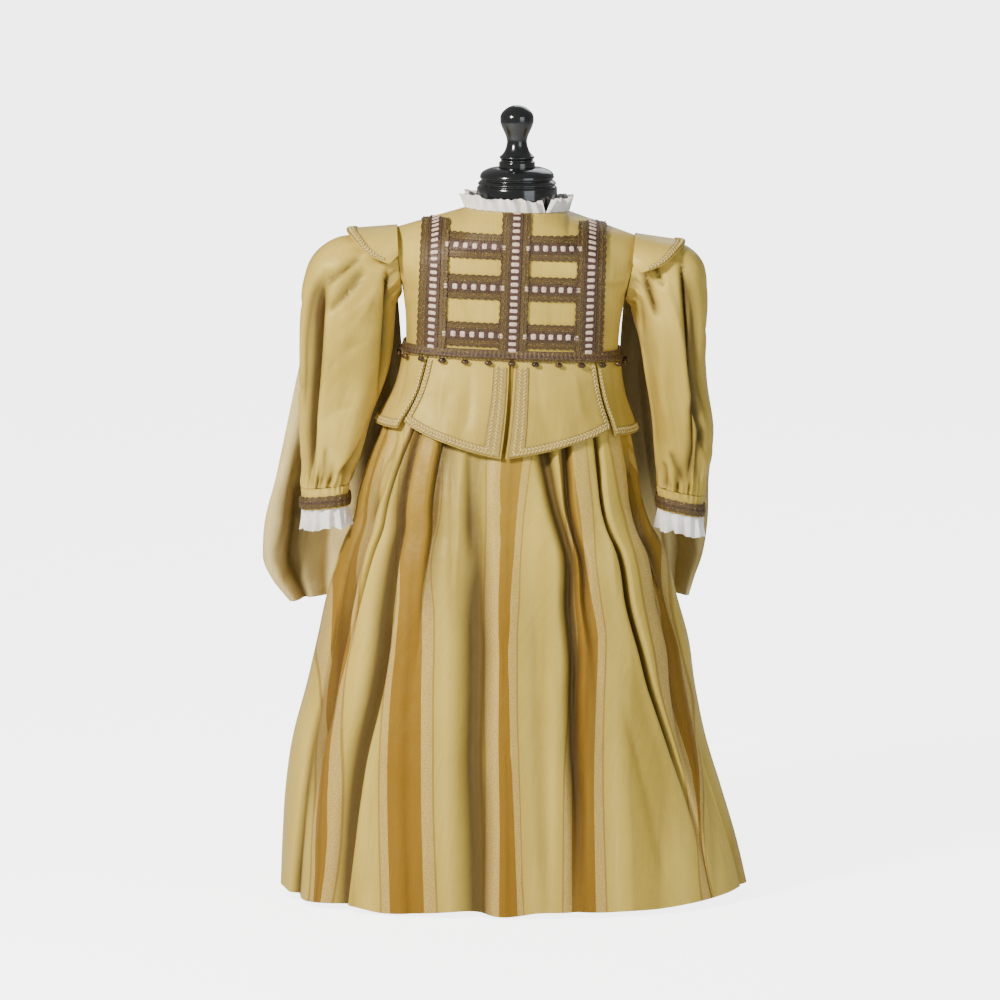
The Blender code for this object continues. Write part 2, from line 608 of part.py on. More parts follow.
def skirt_grid():
    """The outer face of the whole skirt: rows upwards, columns round it from the first fold."""
    grid = []
    for height in SKIRT_ROWS:
        angles = skirt_angles(height)
        points = rings_at(SKIRT_COLUMNS, SKIRT, angles, np.full(len(angles), float(height)))
        middle = np.array([points[:, 0].mean(), 0, height])
        away = points - middle
        radius = np.linalg.norm(away, axis=1)
        points = points - away / radius[:, None] * fold_depth(angles, height, radius)[:, None]
        points[:, 2] -= LEAN * (points[:, 0] - WAIST_SHIFT) * ease(*SKIRT_LEAN, height)
        grid.append(points)
    return np.array(grid)


def make_skirt():
    """Four widths cut from one ring of folded cloth."""
    grid = skirt_grid()
    normals = outward(grid, normals_of(grid, wrap=True))
    inner = grid - normals * CLOTH
    angles = skirt_angles(SKIRT_ROWS[len(SKIRT_ROWS) // 2])
    for name, seams in WIDTHS.items():
        first, last = [int(np.argmin(np.abs((angles - seam + 180) % 360 - 180))) for seam in seams]
        count = (last - first) % len(angles) + 1
        take = (first + np.arange(count)) % len(angles)
        faces = [grid[:, take].copy(), inner[:, take].copy()]
        for face in faces:
            for edge, beside in ((0, 1), (-1, -2)):
                step = face[:, beside] - face[:, edge]
                face[:, edge] += step / np.linalg.norm(step, axis=-1, keepdims=True) * SEAM / 2
        add_wall(name, faces[0], faces[1], "striped_silk")


def peplum_point(panel, side, across, down):
    """A point of a peplum panel: across from its near edge to its far one, down from the waist to its hem."""
    near = panel["near_top"] + (panel["near_hem"] - panel["near_top"]) * down
    far = panel["far_top"] + (panel["far_hem"] - panel["far_top"]) * down
    angles = near + (far - near) * across
    drop = panel["near_drop"] + (panel["far_drop"] - panel["near_drop"]) * across
    heights = PEPLUM[-1][0] - down * drop
    points = rings_at(PEPLUM_COLUMNS, PEPLUM, SIGN[side] * angles, heights)
    points[..., 2] -= LEAN * (points[..., 0] - WAIST_SHIFT)
    return points


def make_peplum():
    """Six flared panels and the cord edging that borders each."""
    for side in ("left", "right"):
        for row in PEPLUM_PANELS:
            panel = named(PEPLUM_PANEL_COLUMNS, row)
            name = panel["name"]
            across, down = np.meshgrid(np.linspace(0, 1, PEPLUM_STEPS[name]), np.linspace(0, 1, PEPLUM_ROWS))
            grid = peplum_point(panel, side, across, down)
            normals = outward(grid, normals_of(grid))
            add_wall(f"peplum_{name}_{side}", grid, grid - normals * CLOTH, "silk")
            make_peplum_trim(panel, side)


def make_peplum_trim(panel, side):
    """A strip down one edge of the panel, along its hem and up the other edge."""
    name = panel["name"]
    width, hem_width = PEPLUM_EDGING[name]
    top = TRIM_START / panel["near_drop"]
    along = np.linspace(0, 1, PEPLUM_STEPS[name])
    down = (top, 1 / 3, 2 / 3, 1)
    edge = [(0, d) for d in down] + [(a, 1) for a in along[1:-1]] + [(1, d) for d in down[::-1]]
    inside = [(min(max(a, width), 1 - width), min(d, 1 - hem_width)) for a, d in edge]
    across, down = np.moveaxis(np.array([edge, inside]), -1, 0)
    grid = peplum_point(panel, side, across, down)
    step = 0.01
    beside = peplum_point(panel, side, across + step, down)
    below = peplum_point(panel, side, across, down + step)
    normals = np.cross(beside - grid, below - grid)
    normals /= np.linalg.norm(normals, axis=-1, keepdims=True)
    normals = outward(grid, normals)
    outer, inner = grid + normals * (TRIM_GAP + TRIM), grid + normals * TRIM_GAP
    add_wall(f"peplum_trim_{name}_{side}", outer, inner, "cord_edging")


def waist_oval(angles, gap):
    """The waist seam, a gap further out."""
    waist = named(SKIRT_COLUMNS, SKIRT[-1])
    left, right = waist["left"] - gap, waist["right"] + gap
    return oval(angles, left, right, waist["front"] + gap, waist["back"] + gap, waist["squareness"])


def make_waist_braid():
    """A narrow braid round the waist seam, with oval beads that stand out of it and hang below it."""
    round_waist = np.linspace(0, 360, 721)
    outline = waist_oval(round_waist, 0)
    length = np.concatenate([[0], np.cumsum(np.hypot(*np.diff(outline, axis=1)))])
    beads = round(length[-1] / BEAD_PITCH)
    pitch = length[-1] / beads
    offsets = np.array([-1.0, -0.4, 0.4, 1.0]) * BEAD_HALF_WIDTH
    stops = np.concatenate([[bead * pitch + offset for offset in offsets] for bead in range(beads)])
    angles = np.interp(stops % length[-1], length, round_waist)
    on_bead = np.tile([0.0, 1.0, 1.0, 0.0], beads)
    rows_outer, rows_inner = [], []
    for row in WAIST_BRAID:
        braid = named(WAIST_BRAID_COLUMNS, row)
        height = WAIST + braid["up"] - on_bead * braid["drop"] * BEAD_DROP
        x, y = waist_oval(angles, braid["gap"] + on_bead * braid["drop"] * BEAD_LEAN)
        inner = np.stack([x, y, height - LEAN * (x - WAIST_SHIFT)], axis=-1)
        away = np.stack([x - WAIST_SHIFT, y, 0 * x], axis=-1)
        away /= np.linalg.norm(away, axis=1, keepdims=True)
        thickness = BRAID + on_bead * braid["bulge"] * BEAD_BULGE
        rows_inner.append(inner)
        rows_outer.append(inner + away * thickness[:, None])
    add_wall("waist_braid", np.array(rows_outer), np.array(rows_inner), "metal_braid", wrap=True)


def armhole_loop(side):
    """The sleeve's edge at the armhole: from the underarm over the front to the shoulder, then the back."""
    loop = []
    for turn in np.arange(SLEEVE_SIDES) * 2 * math.pi / SLEEVE_SIDES:
        way = (1 - math.cos(turn)) / 2
        half = "front" if math.sin(turn) >= 0 else "back"
        depth = ARMHOLE_DEPTH[half] * (4 * way * (1 - way)) ** 0.6
        height = UNDERARM_HEIGHT + way * (SHOULDER_HEIGHT - UNDERARM_HEIGHT)
        x = UNDERARM_HALF_WIDTH + way * (SHOULDER_POINT - UNDERARM_HALF_WIDTH) + ARMHOLE_GAP
        loop.append((SIGN[side] * x, -depth if half == "front" else depth, height))
    return leaning(np.array(loop))


def sleeve_ring(row, sides, grow=0.0):
    """A ring between the near and the far point of a row, drawn in and out by its gathers."""
    turns = np.arange(sides) * 2 * math.pi / sides
    near = np.array([row["near_x"], 0, row["near_height"]])
    far = np.array([row["far_x"], 0, row["far_height"]])
    middle, reach = (near + far) / 2, (far - near) / 2
    waves = np.sin(SLEEVE_GATHERS * turns + 0.9) + 0.45 * np.sin((SLEEVE_GATHERS + 3) * turns + 2.1) - 0.5
    scale = 1 + (grow + row["gather"] * waves) / np.linalg.norm(reach)
    ring = middle - (np.cos(turns) * scale)[:, None] * reach
    ring[:, 1] += row["depth_at"] - np.sin(turns) * scale * row["half_depth"]
    return ring


def make_sleeves():
    """Full sleeves, gathered into the armhole and into the cuff."""
    for side, table in SLEEVES.items():
        rows = [named(SLEEVE_COLUMNS, row) for row in table]
        grid = np.array([armhole_loop(side)] + [sleeve_ring(row, SLEEVE_SIDES) for row in rows])
        normals = normals_of(grid, wrap=True)
        away = np.sum((grid - grid.mean(axis=1, keepdims=True)) * normals, axis=-1)
        if np.median(away) < 0:
            normals = -normals
        add_wall(f"sleeve_{side}", grid, grid - normals * CLOTH, "silk", wrap=True)
        make_cuff(side, rows[-1])


def cuff_ring(last_row, down, grow, sides):
    """A ring below the sleeve's last one and parallel to it."""
    row = dict(last_row, gather=0.0)
    for height in ("near_height", "far_height"):
        row[height] -= down
    return sleeve_ring(row, sides, grow)


def make_cuff(side, last_row):
    """Band, braid and frill below the sleeve's last ring."""
    tubes = (
        (f"cuff_{side}", (CUFF_FROM, CUFF_TO), 0.0, CUFF_WALL, "silk"),
        (f"cuff_braid_{side}", (CUFF_BRAID_FROM, CUFF_BRAID_TO), SEAM + BRAID, BRAID, "metal_braid"),
    )
    for name, stops, grow, wall, finish in tubes:
        outer = np.array([cuff_ring(last_row, down, grow, CUFF_SIDES) for down in stops])
        inner = np.array([cuff_ring(last_row, down, grow - wall, CUFF_SIDES) for down in stops])
        add_wall(name, outer, inner, finish, wrap=True)
    sides = CUFF_FRILL_WAVES * 4
    turns = np.arange(sides) * 2 * math.pi / sides
    wave = np.sin(CUFF_FRILL_WAVES * turns) + 0.3 * np.sin(5 * turns + 1)
    outer, inner = [], []
    for down, flare in ((0.0, FRILL_SEAM_SHARE), (CUFF_FRILL_HEIGHT, 1.0)):
        ring = cuff_ring(last_row, CUFF_TO + SEAM + down, -CUFF_FRILL_INSET, sides)
        away = ring - ring.mean(axis=0)
        away[:, 2] = 0
        away /= np.linalg.norm(away, axis=1, keepdims=True)
        grow = flare * CUFF_FRILL_WAVE * wave
        outer.append(ring + away * grow[:, None])
        inner.append(ring + away * (grow - FRILL)[:, None])
    add_wall(f"cuff_frill_{side}", np.array(outer), np.array(inner), "white_frill", wrap=True)


def make_neck_frill():
    """A standing frill gathered on the neckline, with its two ends meeting in a notch."""
    outer, inner = [], []
    for up, opens in zip((0.0, 1.0), NOTCH_OPENS):
        round_neck = np.linspace(opens, 360 - opens, NECK_FRILL_WAVES * 4 + 1)
        turn = np.radians(NOTCH_ANGLE + round_neck)
        front_share = ((1 + np.cos(turn)) / 2) ** 2
        rise = NECK_FRILL_HEIGHT["front"] - NECK_FRILL_HEIGHT["back"]
        height = NECK_FRILL_HEIGHT["back"] + rise * front_share
        depth = np.where(np.cos(turn) > 0, NECK_DEPTH["front"], NECK_DEPTH["back"])
        x, y = NECK_HALF_WIDTH * np.sin(turn), -np.cos(turn) * depth
        away = np.stack([x / NECK_HALF_WIDTH**2, y / depth**2, 0 * x], axis=-1)
        away /= np.linalg.norm(away, axis=1, keepdims=True)
        ragged = 0.9 * np.sin(np.radians(round_neck * 7))
        z = NECK_HEIGHT + SEAM + (height + ragged) * up
        wave = NECK_FRILL_WAVE * np.sin(np.radians(round_neck * NECK_FRILL_WAVES))
        reach = 0.8 + NECK_FRILL_SPREAD * up + wave * (FRILL_SEAM_SHARE + (1 - FRILL_SEAM_SHARE) * up)
        ring = np.stack([x, y, z], axis=-1)
        outer.append(ring + away * reach[:, None])
        inner.append(ring + away * (reach - FRILL)[:, None])
    add_wall("neck_frill", leaning(np.array(outer)), leaning(np.array(inner)), "white_frill")


def wing_point(side, around, out):
    """A point of the shoulder wing: around from front to back, out from the armhole to the free edge."""
    turn = np.radians(around)
    top = np.clip(np.cos(turn), 0, 1)
    x = SHOULDER_POINT - WING_ROOT["inset"] - WING_ROOT["tuck"] * (1 - top) + WING_REACH * top**0.55 * out
    y = np.sin(turn) * (WING_HALF_DEPTH - WING_ROOT["depth"] * (1 - out))
    height = WING_FOOT + (WING_TOP - WING_FOOT - WING_DROOP * out) * top**0.75
    return leaning(np.stack([SIGN[side] * x, y, height], axis=-1))


def upward(normals):
    """The normals, turned to point up."""
    return normals if np.median(normals[..., 2]) > 0 else -normals


def make_wings():
    """Stiff caps over the sleeve heads, edged with the pale cord."""
    for side in ("left", "right"):
        around, out = np.meshgrid(np.linspace(-88, 88, 11), (0.0, 0.5, 1.0))
        grid = wing_point(side, around, out)
        add_wall(f"wing_{side}", grid, grid - upward(normals_of(grid)) * WING_WALL, "silk")
        around, out = np.meshgrid(np.linspace(-80, 80, 11), (1 - WING_TRIM_WIDTH / WING_REACH, 1.0))
        strip = wing_point(side, around, out)
        up = upward(normals_of(strip))
        outer, inner = strip + up * (TRIM_GAP + 0.1 + TRIM), strip + up * (TRIM_GAP + 0.1)
        add_wall(f"wing_trim_{side}", outer, inner, "cord_edging")


def make_hanging_sleeves():
    """Long open over-sleeves that hang behind the arms, each one curved sheet with soft folds."""
    for side, table in HANGING.items():
        rows = columns_of(HANGING_COLUMNS, table)
        across = np.linspace(0, 1, HANGING_STEPS)
        grid = []
        for i, height in enumerate(rows["height"]):
            x = smooth((0, 0.5, 1), [rows[key][i] for key in ("near_x", "middle_x", "far_x")], across)
            y = smooth((0, 0.5, 1), [rows[key][i] for key in ("near_y", "middle_y", "far_y")], across)
            for at, depth in HANGING_FOLDS:
                y = y + depth * min(1.0, i / 4) * np.exp(-(((across - at) / HANGING_FOLD_WIDTH) ** 2))
            grid.append(np.stack([x, y, np.full(len(across), height)], axis=-1))
        grid = np.array(grid)
        normals = normals_of(grid)
        if np.median(normals[..., 1]) < 0:
            normals = -normals
        add_wall(f"hanging_sleeve_{side}", grid, grid - normals * CLOTH, "silk")


def centre_on_origin(bodies):
    """Moves everything sideways, so that the origin lies on the floor under the middle of the whole gown."""
    points = [np.array([corner.co for corner in body.data.vertices]) for body in bodies]
    low = np.min([cloud.min(axis=0) for cloud in points], axis=0)
    high = np.max([cloud.max(axis=0) for cloud in points], axis=0)
    middle = (low + high) / 2
    for body in bodies:
        for corner in body.data.vertices:
            corner.co.x -= middle[0]
            corner.co.y -= middle[1]


def main():
    for old in list(bpy.context.scene.objects):
        bpy.data.objects.remove(old)
    make_form()
    make_bodice()
    make_neck_frill()
    make_waist_braid()
    make_peplum()
    make_sleeves()
    make_wings()
    make_hanging_sleeves()
    make_skirt()
    centre_on_origin(list(bpy.context.scene.objects))


main()
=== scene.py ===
# %% [markdown]
# A gold silk gown in the Tudor style on a limbless dress form.
# The packed solids give every size and place. This script dresses them: each piece of cloth is drawn again
# with a finer grid on the same rings and folds, then gets its creases, trimmings and finishes.
# Lengths are in millimetres in the tables, and MM turns them into Blender's metres.

# %% Start from the packed solids
import math
from functools import partial

import bmesh
import bpy
import numpy as np
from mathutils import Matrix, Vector


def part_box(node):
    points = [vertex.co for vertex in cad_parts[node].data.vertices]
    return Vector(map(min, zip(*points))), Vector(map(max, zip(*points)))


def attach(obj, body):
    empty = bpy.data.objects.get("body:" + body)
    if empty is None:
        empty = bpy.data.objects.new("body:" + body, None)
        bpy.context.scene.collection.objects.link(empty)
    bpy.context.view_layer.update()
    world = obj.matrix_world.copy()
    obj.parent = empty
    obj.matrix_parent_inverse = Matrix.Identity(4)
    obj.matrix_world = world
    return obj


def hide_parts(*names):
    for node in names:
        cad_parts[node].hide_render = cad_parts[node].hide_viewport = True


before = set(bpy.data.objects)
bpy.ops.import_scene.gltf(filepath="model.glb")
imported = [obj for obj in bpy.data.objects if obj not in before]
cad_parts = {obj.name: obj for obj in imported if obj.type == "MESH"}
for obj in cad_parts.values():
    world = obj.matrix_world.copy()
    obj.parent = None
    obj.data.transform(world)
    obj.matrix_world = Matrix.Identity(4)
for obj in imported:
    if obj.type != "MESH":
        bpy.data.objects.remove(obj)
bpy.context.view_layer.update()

# %% [markdown]
# Where things are. The gown is drawn round an upright line and the packed model is centred on the floor, so
# one sideways shift joins the two. The foot of the stand shows how large it is, because its place in the
# drawing is known.

# %% One shift from the drawing to the packed model
MM = 0.001
WAIST_SHIFT = -4.0
low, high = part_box("stand_base")
SHIFT = np.array([(low.x + high.x) / 2 / MM - WAIST_SHIFT, (low.y + high.y) / 2 / MM, 0.0])
print("drawing shift in millimetres", SHIFT.round(2))

# %% [markdown]
# The camera comes early, since the creases are placed as it sees them. A long lens from ten metres gives
# the flat look of a catalogue photograph, slightly from above.

# %% Camera at the photograph's angle
PIXEL = 1.27  # millimetres of the gown in one pixel of the picture
HALF_PICTURE = 500  # the picture is 1000 pixels wide and high
CENTRE_PIXEL = 515.0
AIM_HEIGHT = 506.0
TILT = math.radians(7.8)
DISTANCE = 10.0
SENSOR = 36.0


def add_object(name, data):
    """A new object at the origin of the scene."""
    item = bpy.data.objects.new(name, data)
    bpy.context.scene.collection.objects.link(item)
    return item


def turned_to(place, target):
    """The rotation of a lamp or camera that looks from its place at a target."""
    return (Vector(target) - place).to_track_quat("-Z", "Y").to_euler()


aim = Vector(((HALF_PICTURE - CENTRE_PIXEL) * PIXEL, 0, AIM_HEIGHT)) + Vector(SHIFT)
camera = add_object("camera", bpy.data.cameras.new("camera"))
camera.data.sensor_width = SENSOR
camera.data.lens = SENSOR * DISTANCE / PIXEL
camera.location = aim * MM + Vector((0, -math.cos(TILT), math.sin(TILT))) * DISTANCE
camera.rotation_euler = turned_to(camera.location, aim * MM)
camera.data.clip_end = 5 * DISTANCE
bpy.context.scene.camera = camera
print("lens in millimetres", round(camera.data.lens, 1))

# %% [markdown]
# A studio for pale catalogue pictures: one large soft light high on the left, a weaker one on the right
# that keeps the folds open, one behind for the edges, and a pale floor that fades into a pale sky.

# %% Floor, sky and soft lights
LIGHT_COLUMNS = ("name", "place", "size", "watts", "colour")
LIGHTS = (
    ("key", (-1.45, -1.7, 1.95), 0.42, 110, (1, 0.98, 0.93)),
    ("fill", (2.6, -3.6, 1.5), 2.4, 66, (0.84, 0.93, 1)),
    ("back", (0.8, 3.4, 2.8), 2.2, 36, (0.9, 0.95, 1)),
)
LIGHTS_LOOK_AT = (0, 0, 0.5)
FLOOR_REACH = 30.0


def named(columns, row):
    """One row of a table by the names of its columns."""
    return dict(zip(columns, row))


def records(columns, rows):
    """Every row of a table by the names of its columns."""
    return [named(columns, row) for row in rows]


for light in records(LIGHT_COLUMNS, LIGHTS):
    lamp = add_object(light["name"], bpy.data.lights.new(light["name"], "AREA"))
    lamp.data.size = light["size"]
    lamp.data.energy, lamp.data.color = light["watts"], light["colour"]
    lamp.location = light["place"]
    lamp.rotation_euler = turned_to(lamp.location, LIGHTS_LOOK_AT)
floor_mesh = bpy.data.meshes.new("floor")
floor_corners = [(x * FLOOR_REACH, y * FLOOR_REACH, 0) for x, y in ((-1, -1), (1, -1), (1, 1), (-1, 1))]
floor_mesh.from_pydata(floor_corners, [], [(0, 1, 2, 3)])
floor = add_object("floor", floor_mesh)
print("lights", len(LIGHTS))

# %% [markdown]
# Materials are small networks of nodes. Written one node at a time they take a page each, so a helper
# adds a node, sets its numbers and links its inputs in one call. A number stays on the socket itself, and
# only what changes over the surface is linked.

# %% A helper that writes a material's nodes


class Network:
    """A tree of nodes under construction: each call adds one node and gives its output."""

    def __init__(self, tree):
        self.tree = tree

    def add(self, kind, sockets=None, out=0, **settings):
        node = self.tree.nodes.new(kind)
        for key, value in settings.items():
            setattr(node, key, value)
        self.feed(node, sockets or {})
        return node.outputs[out]

    def feed(self, node, sockets):
        for key, value in sockets.items():
            if isinstance(value, bpy.types.NodeSocket):
                self.tree.links.new(value, node.inputs[key])
            else:
                node.inputs[key].default_value = value


# %% [markdown]
# The sky is a plain white world. A light path node tells what the camera sees from what lights the gown,
# so the background can be bright while the folds keep their shade.

# %% The sky
SKY = {"lights": 0.27, "seen": 4.6}  # how bright the sky is as a light, and behind the gown
WHITE = (1, 1, 1, 1)

world = bpy.data.worlds.new("sky")
world.use_nodes = True
sky = Network(world.node_tree)
seen_sky = sky.add("ShaderNodeLightPath")
strength = sky.add("ShaderNodeMapRange", {"Value": seen_sky, "To Min": SKY["lights"], "To Max": SKY["seen"]})
sky.feed(world.node_tree.nodes["Background"], {"Color": WHITE, "Strength": strength})
bpy.context.scene.world = world
print("sky", SKY)

# %% [markdown]
# Every finish of the gown ends in the Principled shader. What differs is how its colour and its relief
# are mixed, from noises, coordinates and the marks that the cloth carries, so a finish has a short method
# for each.

# %% A helper for finishes


class Finish(Network):
    """A material on the Principled shader, with methods for its colour and its relief."""

    def __init__(self, name):
        self.material = bpy.data.materials.new(name)
        self.material.use_nodes = True
        super().__init__(self.material.node_tree)
        self.shader = self.tree.nodes["Principled BSDF"]

    def flat(self, *scale):
        """The cloth's own flat coordinates in metres, stretched by a scale along and across the grain."""
        cloth = self.add("ShaderNodeUVMap", uv_map="cloth")
        return self.add("ShaderNodeMapping", {"Vector": cloth, "Scale": (*scale, 1)})

    def space(self, scale):
        """The place in the room in metres, scaled."""
        place = self.add("ShaderNodeTexCoord", out="Object")
        return self.add("ShaderNodeMapping", {"Vector": place, "Scale": (scale,) * 3})

    def part(self, where, axis):
        return self.add("ShaderNodeSeparateXYZ", {"Vector": where}, out=axis)

    def mark(self, name):
        """A value that each point of the cloth carries."""
        return self.add("ShaderNodeAttribute", out="Fac", attribute_name=name)

    def noise(self, where, detail=2.0):
        return self.add("ShaderNodeTexNoise", {"Vector": where, "Scale": 1.0, "Detail": detail})

    def spread(self, value, low, high, to_low=0.0, to_high=1.0):
        sockets = {"Value": value, "From Min": low, "From Max": high, "To Min": to_low, "To Max": to_high}
        return self.add("ShaderNodeMapRange", sockets)

    def product(self, first, second):
        return self.add("ShaderNodeMath", {0: first, 1: second}, operation="MULTIPLY")

    def sum_of(self, *parts):
        """Several values, each with its share, added up."""
        total = None
        for value, share in parts:
            term = self.product(value, share)
            if total is None:
                total = term
            else:
                total = self.add("ShaderNodeMath", {0: total, 1: term}, operation="ADD")
        return total

    def mix(self, share, first, second, way="MIX"):
        sockets = {"Factor": share, 6: first, 7: second}
        return self.add("ShaderNodeMix", sockets, out=2, data_type="RGBA", blend_type=way)

    def ramp(self, value, stops):
        output = self.add("ShaderNodeValToRGB", {"Fac": value})
        ramp = output.node.color_ramp
        while len(ramp.elements) < len(stops):
            ramp.elements.new(0.5)
        for element, (place, colour) in zip(ramp.elements, stops):
            element.position, element.color = place, colour
        return output

    def bump(self, height, distance, strength=1.0, below=None):
        sockets = {"Height": height, "Distance": distance, "Strength": strength}
        if below is not None:
            sockets["Normal"] = below
        return self.add("ShaderNodeBump", sockets)

    def done(self, **sockets):
        """Sets the surface's own sockets, by name with underscores for spaces."""
        self.feed(self.shader, {key.replace("_", " "): value for key, value in sockets.items()})
        return self.material

    def grains(self, grain, edges, dark, light, depth, strength):
        """Two colours in a fine noise, and the same noise as relief."""
        noise = self.noise(grain)
        colour = self.mix(self.spread(noise, *edges), dark, light)
        return colour, self.bump(noise, depth, strength)


def rgb(red, green, blue):
    """A colour as a picture shows it, 0 to 255, in the linear numbers that shaders use, and opaque."""
    shares = [value / 255 for value in (red, green, blue)]
    return (*(s / 12.92 if s <= 0.04045 else ((s + 0.055) / 1.055) ** 2.4 for s in shares), 1)


print("a finish can use", [key for key in vars(Finish) if not key.startswith("_")])

# %% [markdown]
# Taffeta is a crisp plain weave. Its weft has slightly thicker threads that show as short level slubs,
# and its warp shows as faint upright streaks. It was dyed dull gold and has aged unevenly. The shine is
# broad, with a little sheen at the edges, and small crumples break it up, so those go into the bump with
# the weave.

# %% Silk taffeta, plain and striped
GOLD_LIGHT, GOLD_MID, GOLD_SHADE = rgb(210, 181, 86), rgb(197, 168, 72), rgb(176, 148, 60)
STRIPE_GOLD, STRIPE_GOLD_DEEP = rgb(139, 101, 27), rgb(124, 88, 21)
STRIPE_PALE, STRIPE_PINK = rgb(196, 166, 88), rgb(176, 142, 78)
STRIPE_LINE = rgb(156, 126, 56)
# Painted shade: folds and creases turn towards this brown, by the mark that each point carries.
PAINTED_FOLD_SHADE = rgb(70, 51, 28)
# Painted light: a paler gold for a copy of the taffeta on faces that stand in shade.
PAINTED_LIGHT_GOLD = rgb(240, 220, 160)
SHINE = rgb(255, 232, 170)  # the colour of the light that the taffeta throws back
GROUND_GREY = rgb(176, 148, 64)
STRIPE_STOPS = (  # place as a share of 80 mm from the middle of the golden stripe
    (0, STRIPE_GOLD_DEEP), (0.12, STRIPE_GOLD), (0.255, STRIPE_GOLD), (0.265, STRIPE_PALE),
    (0.41, STRIPE_PALE), (0.42, STRIPE_LINE), (0.435, STRIPE_LINE), (0.45, GOLD_MID),
    (0.62, GOLD_LIGHT), (0.8, GOLD_MID), (0.88, GROUND_GREY), (1, GOLD_SHADE),
)
SLUB_SCALE, STREAK_SCALE, CRUMPLE_SCALE, AGE_SCALE = (60, 1500), (900, 7), 34, 7
SPECK_SCALE = (420, 700)
# Painted light: the bands are a little paler towards the waist, between these heights in metres, from none to
# 0.3.
PAINTED_LIGHT_ABOVE = (0.36, 0.6, 0.0, 0.3)
# The most that the painted shade turns the colour brown.
DARKEST_PAINTED_SHADE = 0.92


def striped_ground(finish):
    """The stripes by the distance from the nearest golden band, with pink specks on the pale ones."""
    away = finish.mark("stripe")
    ground = finish.ramp(away, STRIPE_STOPS)
    pale, beyond = finish.spread(away, 0.262, 0.266), finish.spread(away, 0.408, 0.412, 1, 0)
    speckle = finish.spread(finish.noise(finish.flat(*SPECK_SCALE), 1), 0.5, 0.56)
    ground = finish.mix(finish.product(finish.product(pale, beyond), speckle), ground, STRIPE_PINK)
    # Painted light: the ground is paler towards the waist.
    return finish.mix(finish.spread(finish.part(finish.space(1.0), 2), *PAINTED_LIGHT_ABOVE), ground, GOLD_MID)


def silk(name, striped=False, lifted=0.0):
    """Taffeta: its ground, its threads and age, painted shade in its folds, and its crumples as relief."""
    finish = Finish(name)
    slubs, streaks = finish.noise(finish.flat(*SLUB_SCALE), 3), finish.noise(finish.flat(*STREAK_SCALE), 2)
    crumples, age = finish.noise(finish.space(CRUMPLE_SCALE), 4), finish.noise(finish.space(AGE_SCALE), 3)
    if striped:
        ground = striped_ground(finish)
    else:
        ground = finish.mix(finish.spread(age, 0.3, 0.7), GOLD_SHADE, GOLD_LIGHT)
        # Painted light: the ground is lifted towards a paler gold.
        ground = finish.mix(lifted, ground, PAINTED_LIGHT_GOLD)
    tone = finish.sum_of((slubs, 0.16), (streaks, 0.3), (age, 0.22))
    shade = finish.spread(tone, 0.22, 0.46, 0.84, 1.1)
    grey = finish.add("ShaderNodeCombineColor", {0: shade, 1: shade, 2: shade})
    colour = finish.mix(1.0, ground, grey, "MULTIPLY")
    # Painted shade in folds and creases, by the mark that each point carries.
    fold_shade_share = finish.spread(finish.mark("hollow"), 0.05, 1.0, 0.0, DARKEST_PAINTED_SHADE)
    colour = finish.mix(fold_shade_share, colour, PAINTED_FOLD_SHADE)
    relief = finish.bump(crumples, 0.0035, 0.5)
    relief = finish.bump(finish.sum_of((slubs, 0.6), (streaks, 0.5)), 0.0004, 0.55, relief)
    return finish.done(
        Base_Color=colour, Roughness=finish.spread(crumples, 0.35, 0.7, 0.36, 0.5), Normal=relief,
        Sheen_Weight=0.03, Sheen_Roughness=0.35, Specular_IOR_Level=0.36, Specular_Tint=SHINE,
    )


FINISHES = {
    # The lining is a paler copy with painted light, for faces that stand in shade.
    "silk": silk("gold_taffeta"), "silk_lining": silk("faded_taffeta", lifted=0.6),
    "striped_silk": silk("striped_taffeta", striped=True),
}
print("stripe stops", len(STRIPE_STOPS))

# %% [markdown]
# The braids are metal lace: a dense purple-brown band with a ladder for ribbon down its middle, and an
# open olive-gold mesh along both edges. The strip's own flat coordinates run along it and across it, so
# the bands follow every bend. A cell pattern gives the mesh its holes and threads.

# %% Metal lace, ribbon, cord and the small dark beads
BRAID_BROWN, BRAID_PLUM, BRAID_OLIVE = rgb(84, 58, 40), rgb(74, 50, 42), rgb(84, 64, 34)
BRAID_DARK, BRAID_GAP = rgb(38, 26, 17), rgb(142, 118, 58)
# Half the braid's width, and how wide its dense core is, in millimetres.
LACE_COLUMNS = ("name", "half", "core")
LACES = (
    ("braid_lace", 18.5, 8), ("bar_lace", 16, 6.5), ("cuff_lace", 8.5, 1.2), ("waist_lace", 5.2, 1.2),
)
LACE_GLINT = rgb(170, 140, 78)
THREAD_COLUMNS = ("name", "dark", "light", "roughness", "metallic", "grain")
THREADS = (
    ("ribbon", rgb(196, 166, 140), rgb(226, 204, 182), 0.45, 0, 500),
    ("dark_cord", rgb(60, 42, 30), rgb(118, 92, 58), 0.5, 0.3, 900),
    ("olive_cord", rgb(86, 66, 32), rgb(146, 120, 62), 0.5, 0.3, 900),
    ("bead", rgb(34, 22, 14), rgb(92, 64, 34), 0.25, 0.2, 260),
    ("edging_ground", rgb(146, 120, 54), rgb(176, 150, 74), 0.75, 0, 900),
    ("edging_cord", rgb(200, 174, 98), rgb(220, 196, 124), 0.7, 0, 900),
    ("edging_line", rgb(118, 94, 40), rgb(160, 134, 66), 0.7, 0, 900),
)


